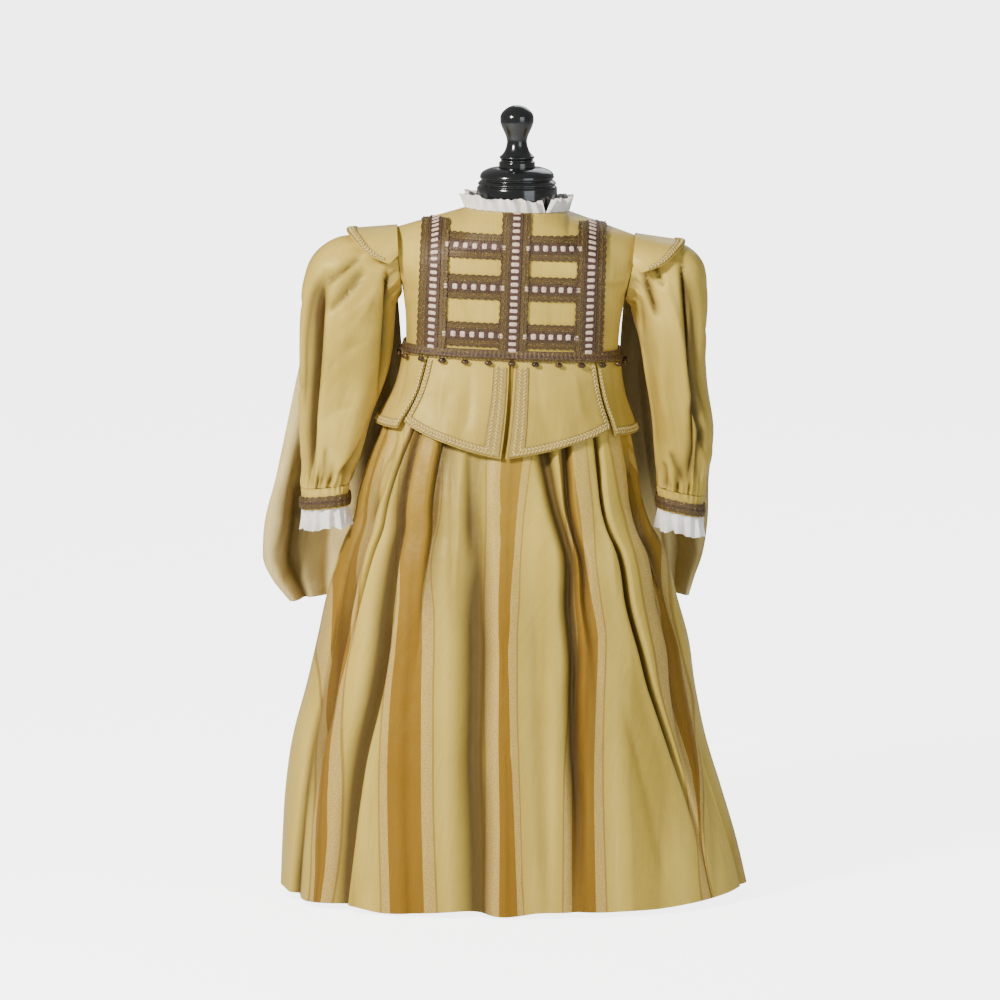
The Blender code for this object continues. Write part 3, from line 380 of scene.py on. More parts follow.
def lace(name, half, core):
    """Metal lace in bands from its middle out: plum, brown, a dark line, and the open olive mesh."""
    finish = Finish(name)
    across = finish.part(finish.flat(1 / MM, 1 / MM), 1)
    away = finish.add("ShaderNodeMath", {0: across}, operation="ABSOLUTE")
    inner = core / half
    bands = finish.ramp(finish.spread(away, 0, half), (
        (0.0, BRAID_PLUM), (inner * 0.55, BRAID_PLUM), (inner * 0.9, BRAID_BROWN), (inner, BRAID_DARK),
        (inner + 0.06, BRAID_OLIVE), (0.86, BRAID_OLIVE), (1, BRAID_BROWN),
    ))
    where = {"Vector": finish.flat(300, 330), "Scale": 1.0}
    cells = finish.add("ShaderNodeTexVoronoi", where, feature="DISTANCE_TO_EDGE")
    threads = finish.noise(finish.flat(1400, 500), 2)
    holes = finish.spread(cells, 0.2, 0.3)
    open_mesh = finish.spread(away, core * 1.05, core * 1.15)
    behind = finish.mix(open_mesh, BRAID_DARK, BRAID_GAP)
    colour = finish.mix(finish.product(holes, 0.8), bands, behind)
    colour = finish.mix(finish.spread(threads, 0.55, 0.72, 0, 0.4), colour, LACE_GLINT)
    relief = finish.bump(finish.sum_of((holes, -1.0), (threads, 0.5)), 0.0008, 0.9)
    return finish.done(Base_Color=colour, Roughness=0.5, Metallic=0.25, Normal=relief, Specular_IOR_Level=0.5)


for row in records(LACE_COLUMNS, LACES):
    FINISHES[row["name"]] = lace(**row)
for row in records(THREAD_COLUMNS, THREADS):
    finish = Finish(row["name"])
    colour, relief = finish.grains(finish.space(row["grain"]), (0.4, 0.62), row["dark"], row["light"],
                                   0.0003, 0.6)
    FINISHES[row["name"]] = finish.done(
        Base_Color=colour, Roughness=row["roughness"], Metallic=row["metallic"], Normal=relief,
    )
print("laces", len(LACES), "threads", len(THREADS))

# %% [markdown]
# The frills are thin white cotton that has yellowed a little in patches. The stand is turned wood under
# black lacquer, bright where it is whole, and greyish with fine rubs where hands and collars have worn it.

# %% Frill, lacquer, form cover and floor


def cotton():
    finish = Finish("white_cotton")
    age = finish.spread(finish.noise(finish.space(60)), 0.35, 0.7)
    colour = finish.mix(age, rgb(250, 247, 243), rgb(232, 222, 208))
    relief = finish.bump(finish.noise(finish.flat(1500, 1500)), 0.0004, 0.5)
    return finish.done(Base_Color=colour, Roughness=0.85, Normal=relief, Sheen_Weight=0.2)


def lacquer():
    """Black, and grey in patches where hands and collars have rubbed it low on the neck."""
    finish = Finish("black_lacquer")
    rubs, fine = finish.noise(finish.space(26), 5), finish.noise(finish.space(300))
    low_down = finish.spread(finish.part(finish.space(1.0), 2), 0.905, 0.88)
    worn = finish.product(finish.spread(rubs, 0.5, 0.62), low_down)
    colour = finish.mix(worn, rgb(22, 24, 23), rgb(104, 106, 102))
    gloss = finish.spread(finish.sum_of((worn, 0.6), (fine, 0.2)), 0.0, 0.8, 0.1, 0.6)
    relief = finish.bump(fine, 0.0002, 0.25)
    return finish.done(Base_Color=colour, Roughness=gloss, Normal=relief, Coat_Weight=0.4)


def cover():
    finish = Finish("form_cover")
    dark, light = rgb(52, 49, 46), rgb(84, 80, 74)
    colour, relief = finish.grains(finish.space(700), (0.35, 0.65), dark, light, 0.0006, 0.6)
    return finish.done(Base_Color=colour, Roughness=0.9, Normal=relief)


def pale_floor():
    finish = Finish("pale_floor")
    drift = finish.spread(finish.noise(finish.space(2)), 0.3, 0.7)
    colour = finish.mix(drift, (0.86, 0.86, 0.86, 1), (0.9, 0.9, 0.9, 1))
    glow = finish.spread(finish.add("ShaderNodeLightPath"), 0, 1, 0.08, 4.2)
    return finish.done(Base_Color=colour, Roughness=0.8, Emission_Color=WHITE, Emission_Strength=glow)


FINISHES.update(white_frill=cotton(), black_lacquer=lacquer(), form_cover=cover())
floor.data.materials.append(pale_floor())
SOLID_FINISHES = {"form_torso": "form_cover", "stand_pole": "black_lacquer", "stand_base": "black_lacquer"}
for node, finish in SOLID_FINISHES.items():
    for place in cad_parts[node].material_slots:
        place.material = FINISHES[finish]
print("finishes", len(FINISHES))

# %% [markdown]
# Shapes start as grids of points. The next helpers read a short table smoothly, lay ovals round the body,
# find the direction that points out of the cloth, and turn a grid into a thin closed shell with its own
# flat coordinates in metres, which the weave and the stripes follow.

# %% Helpers for tables and curves


def columns_of(names, rows):
    """A table as one array for each named column."""
    return {name: np.array([row[i] for row in rows], float) for i, name in enumerate(names)}


def ease(start, stop, at):
    """0 up to start and 1 from stop, with a soft change between them."""
    way = np.clip((np.asarray(at, float) - start) / (stop - start), 0, 1)
    return way * way * (3 - 2 * way)


def smooth(xs, ys, at):
    """A cubic through the rows of a table that never overshoots them."""
    xs, ys, at = np.asarray(xs, float), np.asarray(ys, float), np.asarray(at, float)
    step = np.diff(xs)
    slope = np.diff(ys) / step
    tangent = np.concatenate([slope[:1], (slope[:-1] + slope[1:]) / 2, slope[-1:]])
    tangent[1:-1][slope[:-1] * slope[1:] <= 0] = 0
    i = np.clip(np.searchsorted(xs, at) - 1, 0, len(step) - 1)
    t = np.clip((at - xs[i]) / step[i], 0, 1)
    return (
        ys[i] * (1 + 2 * t) * (1 - t) ** 2
        + ys[i + 1] * t**2 * (3 - 2 * t)
        + step[i] * t * (1 - t) * (tangent[i] * (1 - t) - tangent[i + 1] * t)
    )


def oval(angles, left, right, front, back, squareness):
    """Points of a squarish oval at angles from the centre front, in degrees, positive towards +X."""
    turn = np.radians(angles)
    s, c = np.sin(turn), np.cos(turn)
    power = 2 / squareness
    x = (left + right) / 2 + (right - left) / 2 * np.sign(s) * np.abs(s) ** power
    y = -np.sign(c) * np.abs(c) ** power * np.where(c > 0, front, back)
    return x, y


def rings_at(names, table, angles, heights):
    """Points of a stack of ovals: angles and heights are grids of the same shape."""
    rows = columns_of(names, sorted(table))
    sizes = [smooth(rows["height"], rows[key], heights) for key in names[1:]]
    x, y = oval(angles, *sizes)
    return np.stack([x, y, heights], axis=-1)


def normals_of(points, wrap=False):
    """Unit normals of a grid of points, rows first."""
    if wrap:
        across = np.roll(points, -1, 1) - np.roll(points, 1, 1)
    else:
        across = np.gradient(points, axis=1)
    normals = np.cross(across, np.gradient(points, axis=0))
    return normals / np.maximum(np.linalg.norm(normals, axis=-1, keepdims=True), 1e-9)


def outward(grid, normals):
    """The normals, turned to point away from the middle of the body."""
    middle = np.array([0, 0, grid[..., 2].mean()])
    return normals if np.median(np.sum((grid - middle) * normals, axis=-1)) > 0 else -normals


def lengths(grid, axis):
    """Distance run along one axis of a grid, in millimetres, from its first point."""
    steps = np.linalg.norm(np.diff(grid, axis=axis), axis=-1)
    run = np.cumsum(steps, axis=axis)
    return np.concatenate([np.zeros_like(np.take(run, [0], axis)), run], axis=axis)


def ringed(grid):
    """The grid with its first column once more at its end, where it closes."""
    return np.concatenate([grid, grid[:, :1]], axis=1)


def unit(vectors):
    return vectors / np.linalg.norm(vectors, axis=-1, keepdims=True)


print("an oval's points at the front and at +X", oval(np.array([0, 90]), -2, 2, 1, 1, 2))

# %% [markdown]
# A wall of cloth is two grids of points, its outer and its inner face, closed by rims at its edges. All
# its quads are worked out at once from the grids' numbers. A corner beyond the last column of a tube
# takes the whole way round as its flat coordinate, so the weave runs on over the closing seam.

# %% A grid becomes a thin closed shell
RIM_ANGLE = math.radians(55)  # edges sharper than this stay sharp


def shell_quads(rows, columns, wrap):
    """The quads of both faces and of the rims, and the row and column where each quad of a face starts."""
    count = rows * columns
    spans = columns if wrap else columns - 1
    r, c = [index.ravel() for index in np.meshgrid(np.arange(rows - 1), np.arange(spans), indexing="ij")]
    beside = (c + 1) % columns
    quad = np.stack([r * columns + c, r * columns + beside, (r + 1) * columns + beside,
                     (r + 1) * columns + c], 1)
    edges = []
    for row in (0, rows - 1):
        across = row * columns + np.arange(spans)
        edges.append((across, row * columns + (np.arange(spans) + 1) % columns))
    if not wrap:
        down = np.arange(rows - 1) * columns
        edges += [(down + column, down + columns + column) for column in (0, columns - 1)]
    rims = [np.stack([p, q, q + count, p + count], 1) for p, q in edges]
    return np.concatenate([quad, quad[:, ::-1] + count, *rims]), r, c


def shell_coordinates(quads, flat, count, columns, wrap, r, c):
    """The flat coordinates of every corner of every quad."""
    place = np.arange(count * 2) % count
    here = (place // columns) * flat.shape[1] + place % columns
    loops = flat.reshape(-1, 2)[here][quads.ravel()]
    if wrap:
        last = c == columns - 1
        for layer in (0, 1):
            block = loops[layer * len(r) * 4 : (layer + 1) * len(r) * 4].reshape(-1, 4, 2)
            for corner in (1, 2):
                block[last, corner, 0] = flat[r[last] + ((corner == 2) != (layer == 1)), columns, 0]
    return loops


def shell(name, outer, inner, finish, wrap=False, flat=None, marks=None, lining=None):
    """One object from two grids, with rims, flat coordinates in metres, and named values for each point."""
    rows, columns = outer.shape[:2]
    if flat is None:
        closed = ringed(outer) if wrap else outer
        flat = np.stack([lengths(closed, 1) * MM, lengths(closed, 0) * MM], axis=-1)
    quads, r, c = shell_quads(rows, columns, wrap)
    points = (np.concatenate([outer.reshape(-1, 3), inner.reshape(-1, 3)]) + SHIFT) * MM
    mesh = bpy.data.meshes.new(name)
    mesh.from_pydata(points.tolist(), [], quads.tolist())
    loops = shell_coordinates(quads, flat, rows * columns, columns, wrap, r, c)
    mesh.uv_layers.new(name="cloth").data.foreach_set("uv", loops.ravel())
    for key, values in (marks or {}).items():
        values = np.asarray(values, float)
        vector = values.ndim == 3 and values.shape[-1] == 3
        both = values if values.ndim == 3 and not vector else np.stack([values, values])
        layer = mesh.attributes.new(key, "FLOAT_VECTOR" if vector else "FLOAT", "POINT")
        layer.data.foreach_set("vector" if vector else "value", both.ravel())
    tidy = bmesh.new()
    tidy.from_mesh(mesh)
    bmesh.ops.recalc_face_normals(tidy, faces=tidy.faces)
    tidy.to_mesh(mesh)
    tidy.free()
    mesh.materials.append(FINISHES[finish])
    if lining:
        mesh.materials.append(FINISHES[lining])
        for face in mesh.polygons[len(r) : 2 * len(r)]:
            face.material_index = 1
    mesh.shade_smooth()
    mesh.set_sharp_from_angle(angle=RIM_ANGLE)
    return add_object(name, mesh)


print("a tube of 3 rings and 4 sides has", len(shell_quads(3, 4, True)[0]), "quads")

# %% [markdown]
# Creases are placed in pixels of the picture, as a camera at the photograph's height sees them
# from the front, from behind and from either side. Each one is a soft line that starts and ends in
# nothing, with a width of its own on either side. A crease moves only the cloth that faces its camera.

# %% Where a camera sees a point, and creases along lines in its picture
CREASE_COLUMNS = ("seen_from", "x0", "y0", "x1", "y1", "bow", "left", "right", "depth")
CREASE_CRISPNESS = 1.2  # 2 gives a soft trough, 1 a sharp crease
# Along its line a crease grows between the first two and ends by the others.
CREASE_FADE = (-0.06, 0.18, 0.72, 1.06)
FACING_FADE = (0.05, 0.4)  # cloth that is turned away from the camera by more than this keeps still
VIEWS = {"front": (1, 0), "right": (0, 1), "back": (-1, 0), "left": (0, -1)}  # cosine and sine of its turn


def seen(points, view):
    """Pixels across and down at which a camera on that side sees the points."""
    c, s = VIEWS[view]
    across = points[..., 0] * c + points[..., 1] * s
    away = points[..., 1] * c - points[..., 0] * s
    up = (points[..., 2] - AIM_HEIGHT) * math.cos(TILT) + away * math.sin(TILT)
    return CENTRE_PIXEL + across / PIXEL, HALF_PICTURE - up / PIXEL


def facing(normals, view):
    c, s = VIEWS[view]
    return ease(*FACING_FADE, -(normals[..., 1] * c - normals[..., 0] * s))


def crease_relief(points, normals, rows):
    """How far the creases push the cloth out, in millimetres, with troughs below zero."""
    total = np.zeros(points.shape[:-1])
    for crease in records(CREASE_COLUMNS, rows):
        x, y = seen(points, crease["seen_from"])
        x0, y0 = crease["x0"], crease["y0"]
        run = np.array([crease["x1"] - x0, crease["y1"] - y0], float)
        length = np.linalg.norm(run)
        run /= length
        along = ((x - x0) * run[0] + (y - y0) * run[1]) / length
        off = (x - x0) * run[1] - (y - y0) * run[0] - crease["bow"] * 4 * along * (1 - along)
        off *= PIXEL
        width = np.where(off > 0, crease["right"], crease["left"])
        fade = ease(*CREASE_FADE[:2], along) * (1 - ease(*CREASE_FADE[2:], along))
        shape = np.exp(-np.abs(off / width) ** CREASE_CRISPNESS)
        total += crease["depth"] * fade * shape * facing(normals, crease["seen_from"])
    return total


def ripple(*terms):
    """A sum of gentle waves: each term is a share, a wave's place in turns, and where it starts."""
    return sum(share * np.sin(2 * math.pi * (turns + start)) for share, turns, start in terms)

print("creases can be seen from", list(VIEWS))

# One helper does this for every piece of cloth, so that no piece is forgotten.

# %% Helpers for pieces of cloth
SHELL = 1.1  # thickness of a visible shell of silk
FULL_SHADE_DEPTH = 8.0  # a crease this deep, in millimetres, gets the darkest painted shade
SIZE_STEPS = 200  # cut sizes are rounded up to this many steps in a metre


def fixed(piece, finish, *nodes):
    """The piece rides on the stand and stands for these solids. Its finish is not used."""
    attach(piece, "root")
    if nodes:
        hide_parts(*nodes)
    return piece


def declare(piece, rows, wrap=False):
    mesh = piece.data
    points = np.zeros(len(mesh.vertices) * 3)
    mesh.vertices.foreach_get("co", points)
    grid = points.reshape(2, rows, -1, 3)[0]
    if wrap:
        grid = ringed(grid)
    wide, long = [math.ceil(lengths(grid, axis).max() * SIZE_STEPS) / SIZE_STEPS for axis in (1, 0)]
    area = sum(face.area for face in mesh.polygons) / 2
    area = min(max(area, 0.3 * wide * long), wide * long)
    print(f"{piece.name}: cut {wide:.3f} by {long:.3f} m, {area:.4f} square metres")


def add_cloth(name, grid, normals, held, finish="silk", relief=0.0, wrap=False, wall=SHELL, **more):
    """The cloth of one solid: a shell on a grid that its creases first push in and out."""
    outer = grid + normals * (np.zeros(grid.shape[:2]) + relief)[..., None]
    marks = more.setdefault("marks", {})
    # Painted shade in the troughs, by their depth, unless the piece gives its own.
    marks.setdefault("hollow", np.clip(-relief / FULL_SHADE_DEPTH, 0, 1) + np.zeros(grid.shape[:2]))
    crisp = normals_of(outer, wrap)
    crisp *= np.where(np.sum(crisp * normals, axis=-1, keepdims=True) < 0, -1, 1)
    piece = shell(f"{name}_cloth", outer, outer - crisp * wall, finish, wrap, **more)
    fixed(piece, finish, name)
    declare(piece, len(grid), wrap)


# %% [markdown]
# The skirt is a tube of four widths. It hangs in deep pleats from the waist that open towards the hem.
# Each pleat is a row of a table: an angle and a depth at five heights, how far it reaches to either side,
# and how steep its walls are. The grid's columns run along the pleats, closer together beside them, to
# keep them crisp.

# %% The skirt's rings and its pleats
SKIRT_COLUMNS = ("height", "left", "right", "front", "back", "squareness")
WAIST = 700.0
TORSO_SQUARENESS = 2.8
SKIRT = (
    (6, -300, 297, 190, 206, 2.1),
    (78, -297, 281, 186, 202, 2.1),
    (140, -293, 264, 182, 197, 2.1),
    (202, -284, 245, 176, 190, 2.1),
    (274, -265, 230, 166, 180, 2.15),
    (330, -252, 222, 158, 171, 2.2),
    (385, -240, 207, 149, 161, 2.2),
    (451, -219, 190, 138, 148, 2.3),
    (480, -206, 174, 131, 141, 2.35),
    (510, -200, 164, 125, 134, 2.4),
    (560, -184, 155, 113, 120, 2.5),
    (604, -165, 146, 101, 104, 2.6),
    (650, -146, 133, 88, 86, 2.7),
    (WAIST - 0.4, -138, 130, 78, 72, TORSO_SQUARENESS),
)
FOLD_HEIGHTS = (6.0, 200.0, 330.0, 451.0, 604.0)
FOLD_COLUMNS = ("name", "angles", "depths", "left", "right", "steepness")
FOLDS = (
    ("left_5", (-148, -148, -147, -146, -145), (15, 14, 12, 10, 6), 4, 24, 1.4),
    ("left_4", (-126, -125, -124, -122, -121), (10, 16, 18, 14, 8), 26, 4, 1.4),
    ("left_3", (-99, -100, -101, -102, -103), (16, 13, 9, 8, 7), 4, 22, 1.4),
    ("left_2", (-71, -66, -66, -70, -78), (15, 11, 6, 6, 5), 4, 26, 1.4),
    ("front_l1", (-58, -56, -54, -52, -46), (0, 0, 5, 12, 16), 5, 4, 1.8),
    ("front_l2", (-45, -39.4, -36.8, -38.4, -40), (15, 25, 28, 23, 15), 20, 4, 1.6),
    ("front_l3", (-25, -25, -25, -24.5, -24.5), (3, 0, 2, 11, 15), 3.5, 20, 1.4),
    ("front_c", (-7.6, -5.6, -6.2, -6.8, -7.4), (16, 18, 18, 13, 7), 14, 7.5, 2),
    ("front_r1", (14.4, 19.9, 20, 20.8, 11), (5, 16, 19, 19, 18), 7, 7.5, 2.2),
    ("front_r2", (30, 29, 27, 26, 22), (0, 0, 3, 14, 17), 6, 4.5, 2.4),
    ("front_r3", (57, 55, 46.2, 44, 41), (0, 14, 24, 21, 17), 5.5, 4.5, 2),
    ("right_1", (76, 73, 71, 68, 76), (7, 2, 4, 8, 10), 4, 16, 1.5),
    ("right_2", (97, 98, 99, 100, 101), (15, 14, 10, 9, 6), 24, 4, 1.4),
    ("right_3", (123, 122, 121, 119, 118), (9, 15, 17, 13, 7), 4, 26, 1.4),
    ("right_4", (144, 145, 146, 146, 147), (16, 12, 9, 9, 8), 22, 4, 1.4),
    ("back", (178, 178, 177, 177, 176), (12, 16, 17, 13, 9), 14, 13, 2.4),
)
SKIRT_FULL_SHADE_DEPTH = 14.0  # a pleat this deep gets the darkest painted shade
SKIRT_STRAIGHT = 0.8  # pleats on the front and the back run straight in by this share, not towards the middle
FOLDS_END = (612.0, 668.0)
LEAN = 0.036
SKIRT_LEAN = (380.0, 600.0)
BETWEEN = 34  # columns from one pleat to the next
CROWDING = 0.6  # how much closer the columns stand beside a pleat
SKIRT_ROW_COUNT = 96
WIDTHS = {"skirt_front": (-60, 60), "skirt_right": (60, 134), "skirt_back": (134, 226),
          "skirt_left": (226, 300)}
SEAM = 0.4
ALLOWANCE = (4.0, 2.0)  # how far a width reaches under the next one, and how far below its face


def folds_at(height):
    """The pleats at a height: where each one runs, in degrees, and how deep it is."""
    folds = records(FOLD_COLUMNS, FOLDS)
    for fold in folds:
        fold["angle"] = float(smooth(FOLD_HEIGHTS, fold["angles"], height))
        fold["depth"] = float(smooth(FOLD_HEIGHTS, fold["depths"], height))
    return folds


def skirt_angles(height):
    way = np.arange(BETWEEN) / BETWEEN
    way = way - CROWDING * np.sin(2 * math.pi * way) / (2 * math.pi)
    folds = folds_at(height)
    angles = []
    for fold, following in zip(folds, folds[1:] + folds[:1]):
        angles.append(fold["angle"] + way * ((following["angle"] - fold["angle"]) % 360))
    return np.concatenate(angles)


def fold_depth(angles, height, radius):
    total = np.zeros(len(angles))
    fade = 1 - ease(*FOLDS_END, height)
    for fold in folds_at(height):
        away = np.radians((angles - fold["angle"] + 180) % 360 - 180) * radius
        width = np.where(away > 0, fold["right"], fold["left"])
        total = np.maximum(total, fold["depth"] * fade * np.exp(-np.abs(away / width) ** fold["steepness"]))
    return total


HEM_HEIGHT = 6.0
# The hem rises and falls a little round the skirt: angles from the centre front, and millimetres.
HEM_COLUMNS = ("angle", "rise")
HEM = (
    (-180, 2), (-150, 6), (-125, 1), (-100, 5), (-80, 9), (-62, 0), (-45, 3), (-32, -3), (-20, 0), (-12, 3),
    (-2, -3), (6, 2), (14, 2), (22, 1), (34, 1), (48, 4), (62, 8), (78, 12),
    (95, 8), (120, 1), (150, 5), (180, 2),
)
HEM_FADE = 150.0  # up to this height the rise and fall can be seen
# Small waves between the pleats: depth, how many round the skirt, their lean, and where they start.
WAVES = ((0.35, 23, 0.3, 0.1), (0.25, 41, -0.2, 0.6))
WAVES_CALM_BELOW, WAVES_END = (0.0, 120.0), (560.0, 660.0)


def skirt_grid():
    """The outer face of the whole skirt, and each point's angle and its depth in a pleat."""
    heights = HEM_HEIGHT + (WAIST - HEM_HEIGHT - SEAM) * np.linspace(0, 1, SKIRT_ROW_COUNT)
    hem = columns_of(HEM_COLUMNS, HEM)
    grid, turned, dips = [], [], []
    for height in heights:
        angles = skirt_angles(height)
        wrapped = (angles + 180) % 360 - 180
        points = rings_at(SKIRT_COLUMNS, SKIRT, angles, np.full(len(angles), height))
        away = points - np.array([points[:, 0].mean(), 0, height])
        radius = np.linalg.norm(away, axis=1)
        depth = fold_depth(angles, height, radius)
        fade = (1 - ease(*WAVES_END, height)) * (0.4 + 0.6 * ease(*WAVES_CALM_BELOW, height))
        turns = [(share, count * (angles / 360) + lean * (height / WAIST), at)
                 for share, count, lean, at in WAVES]
        push = away / radius[:, None]
        push[:, 0] *= 1 - SKIRT_STRAIGHT * np.abs(np.cos(np.radians(angles)))
        points = points + push * (ripple(*turns) * fade - depth)[:, None]
        points[:, 2] -= LEAN * (points[:, 0] - WAIST_SHIFT) * ease(*SKIRT_LEAN, height)
        points[:, 2] += smooth(hem["angle"], hem["rise"], wrapped) * (1 - ease(HEM_HEIGHT, HEM_FADE, height))
        grid.append(points)
        turned.append(angles)
        dips.append(depth)
    return np.array(grid), np.array(turned), np.array(dips)


grid, turned, dips = skirt_grid()
print("pleats", len(FOLDS), "rows and columns of the skirt", grid.shape[:2])

# %% [markdown]
# Between its pleats the skirt has softer creases, on the front where the photograph shows them and
# similar ones on the other sides. Pleats and creases also carry dark, which the silk's finish reads,
# because little light gets into a deep fold.

# %% The skirt's creases
SHADE_FALLS_OFF = 1.3  # the painted shade of a shallow pleat is lighter than its share of the depth
SKIRT_CREASES = (
    ("front", 396, 440, 366, 524, 2, 3, 7, -6),
    ("front", 352, 650, 312, 870, 6, 16, 8, 5),
    ("front", 338, 600, 330, 740, 0, 4, 6, -3),
    ("front", 452, 440, 452, 640, 0, 6, 12, -3),
    ("front", 470, 440, 472, 560, 0, 6, 5, -4),
    ("front", 490, 560, 491, 900, 0, 5, 6, -2),
    ("front", 533, 580, 550, 940, -2, 13, 11, -5.5),
    ("front", 552, 640, 556, 900, 1, 6, 5, 2.5),
    ("front", 622, 440, 652, 560, 2, 3, 6, -5),
    ("front", 600, 470, 616, 600, 1, 8, 4, 2.5),
    ("front", 622, 700, 668, 900, 2, 5, 16, -3.5),
    ("front", 700, 700, 716, 900, 2, 5, 12, -4),
    ("front", 372, 780, 366, 912, 0, 5, 10, -4),
    ("back", 470, 436, 452, 640, -6, 4, 14, -11),
    ("back", 444, 440, 418, 560, -4, 4, 9, -8),
    ("back", 560, 436, 592, 700, 6, 14, 4, -11),
    ("back", 586, 440, 612, 580, 4, 8, 4, -8),
    ("back", 400, 460, 364, 780, -8, 12, 4, -10),
    ("back", 630, 460, 670, 840, 8, 4, 16, -11),
    ("back", 520, 560, 524, 906, 2, 12, 9, -11),
    ("left", 480, 450, 450, 770, -6, 4, 14, -10),
    ("left", 520, 440, 524, 600, 2, 4, 8, -7),
    ("left", 560, 460, 592, 850, 6, 12, 4, -10),
    ("right", 476, 460, 444, 810, -6, 4, 14, -10),
    ("right", 516, 440, 512, 600, -2, 4, 8, -7),
    ("right", 556, 450, 582, 770, 6, 12, 4, -10),
)

# Broad parts of the front get a little painted shade: pixels across the picture, and how much.
SHADED_COLUMNS = ("from", "to", "shade")
SHADED, SHADED_SOFT, SHADED_BELOW = ((428, 460, 0.13), (508, 566, 0.16), (578, 598, 0.1)), 9.0, (490.0, 600.0)

normals = outward(grid, normals_of(grid, wrap=True))
relief = crease_relief(grid, normals, SKIRT_CREASES)
skirt_outer = grid + normals * relief[..., None]
# Painted shade in the skirt's pleats and troughs, by their depth.
deep = np.clip((dips - relief) / SKIRT_FULL_SHADE_DEPTH, 0, 1) ** SHADE_FALLS_OFF
x, y = seen(skirt_outer, "front")
# Painted shade over these broad parts of the front.
for panel in records(SHADED_COLUMNS, SHADED):
    inside = ease(-SHADED_SOFT, SHADED_SOFT, x - panel["from"])
    inside = inside * ease(-SHADED_SOFT, SHADED_SOFT, panel["to"] - x)
    inside = inside * ease(*SHADED_BELOW, y) * (np.cos(np.radians(turned)) > 0)
    deep = deep + panel["shade"] * inside * (1 - deep)
print(f"creases of the skirt from {relief.min():.1f} to {relief.max():.1f} mm")

# %% [markdown]
# The skirt's silk is striped along the warp: a golden band with a pale speckled band on either side,
# again and again. On the front the bands lie where the photograph shows them, so a table gives their
# edges as the camera sees them. Beyond it the distance from the nearest golden band is measured round a
# calmer copy of the cloth. Either way the skirt keeps one number for every point, and the material reads
# it.

# %% The stripes
BAND_LINES = (440, 480, 520, 560, 600, 640, 700, 780, 915)  # pixels down the picture
# Pixels at those lines, as the front camera sees them.
BAND_COLUMNS = ("from", "to", "pale_left", "pale_right")
FRONT_BANDS = (
    (
        (372, 362, 347, 342, 337, 331, 328, 325, 317), (392, 377, 367, 360, 356, 352, 343, 337, 326),
        (2, 3, 5, 7, 8, 8, 7, 7, 6), (6, 7, 7, 6, 4, 4, 7, 8, 8),
    ),
    (
        (411, 406, 403, 401, 400, 397, 391, 388, 391), (441, 441, 438, 429, 423, 423, 422, 422, 425),
        (5, 5, 4, 3, 2, 5, 6, 7, 8), (1, 1, 1, 2, 10, 11, 11, 11, 12),
    ),
    (
        (501, 501, 501, 501, 500, 500, 500, 500, 499), (526, 520, 516, 513, 510, 508, 508, 512, 518),
        (13, 14, 14, 15, 15, 15, 15, 14, 14), (7, 7, 6, 6, 8, 8, 8, 6, 4),
    ),
    (
        (560, 566, 570, 573, 574, 577, 575, 571, 571), (570, 574, 580, 584, 591, 597, 595, 593, 595),
        (3, 3, 4, 5, 6, 6, 6, 7, 8), (14, 14, 12, 10, 8, 7, 7, 8, 10),
    ),
    (
        (614, 624, 636, 643, 655, 661, 673, 692, 696), (622, 636, 648, 656, 664, 672, 688, 696, 699),
        (6, 8, 10, 10, 12, 10, 9, 8, 11), (2, 2, 2, 2, 3, 3, 3, 2, 2),
    ),
)
FRONT_REACH = 88.0  # degrees either way from the centre front that the table covers
STRIPE_HEIGHTS = (6.0, 330.0, 604.0)
STRIPES = (  # beyond it, the angle of each golden band at those heights
    (-100, -101, -112), (104, 104, 110), (135, 135, 138), (166, 166, 167), (197, 197, 196), (229, 229, 225),
)
GOLD_SHARE, PALE_SHARE = 0.26, 0.415  # where a golden and a pale band end in the colour stops
STRIPE_STEPS = 300  # how calm that copy is
STRIPE_SCALE = 80.0  # millimetres from the middle of a golden band that the colour stops cover


def calmed(grid, steps):
    """A closed grid, each point moved again and again to the average of its neighbours."""
    for _ in range(steps):
        grid = (np.roll(grid, 1, 1) + 2 * grid + np.roll(grid, -1, 1)) / 4
    for _ in range(steps // 2):
        before, after = np.roll(grid, 1, 0), np.roll(grid, -1, 0)
        before[0], after[-1] = grid[0], grid[-1]
        grid = (before + 2 * grid + after) / 4
    return grid


def back_stripes(run, heights):
    """Each point's distance from the nearest golden band, measured round the calm copy."""
    stripe = np.full(run.shape, 1.0)
    for row, height in enumerate(heights):
        angles = np.append(turned[row], turned[row, 0] + 360)
        for band in STRIPES:
            at = float(smooth(STRIPE_HEIGHTS, band, height))
            at = angles[0] + (at - angles[0]) % 360
            away = np.abs(run[row] - np.interp(at, angles, run[row]))
            stripe[row] = np.minimum(stripe[row], np.minimum(away, run[row, -1] - away) / STRIPE_SCALE)
    return stripe


def front_stripes(places, y):
    """The same from the table of edges. The calm copy, without overhangs, places the outermost bands."""
    stripe = np.ones(y.shape)
    for number, band in enumerate(FRONT_BANDS):
        x = places["cloth" if 0 < number < len(FRONT_BANDS) - 1 else "calm"]
        edges = {key: smooth(BAND_LINES, row, np.clip(y, BAND_LINES[0], BAND_LINES[-1]))
                 for key, row in zip(BAND_COLUMNS, band)}
        middle, half = (edges["from"] + edges["to"]) / 2, (edges["to"] - edges["from"]) / 2
        pale = np.where(x < middle, edges["pale_left"], edges["pale_right"])
        off = np.abs(x - middle)
        on_pale = GOLD_SHARE + (off - half) / pale * (PALE_SHARE - GOLD_SHARE)
        share = np.where(off < half, off / half * GOLD_SHARE, on_pale)
        beyond = PALE_SHARE + (off - half - pale) * PIXEL / STRIPE_SCALE
        stripe = np.minimum(stripe, np.where(off > half + pale, beyond, share))
    return stripe


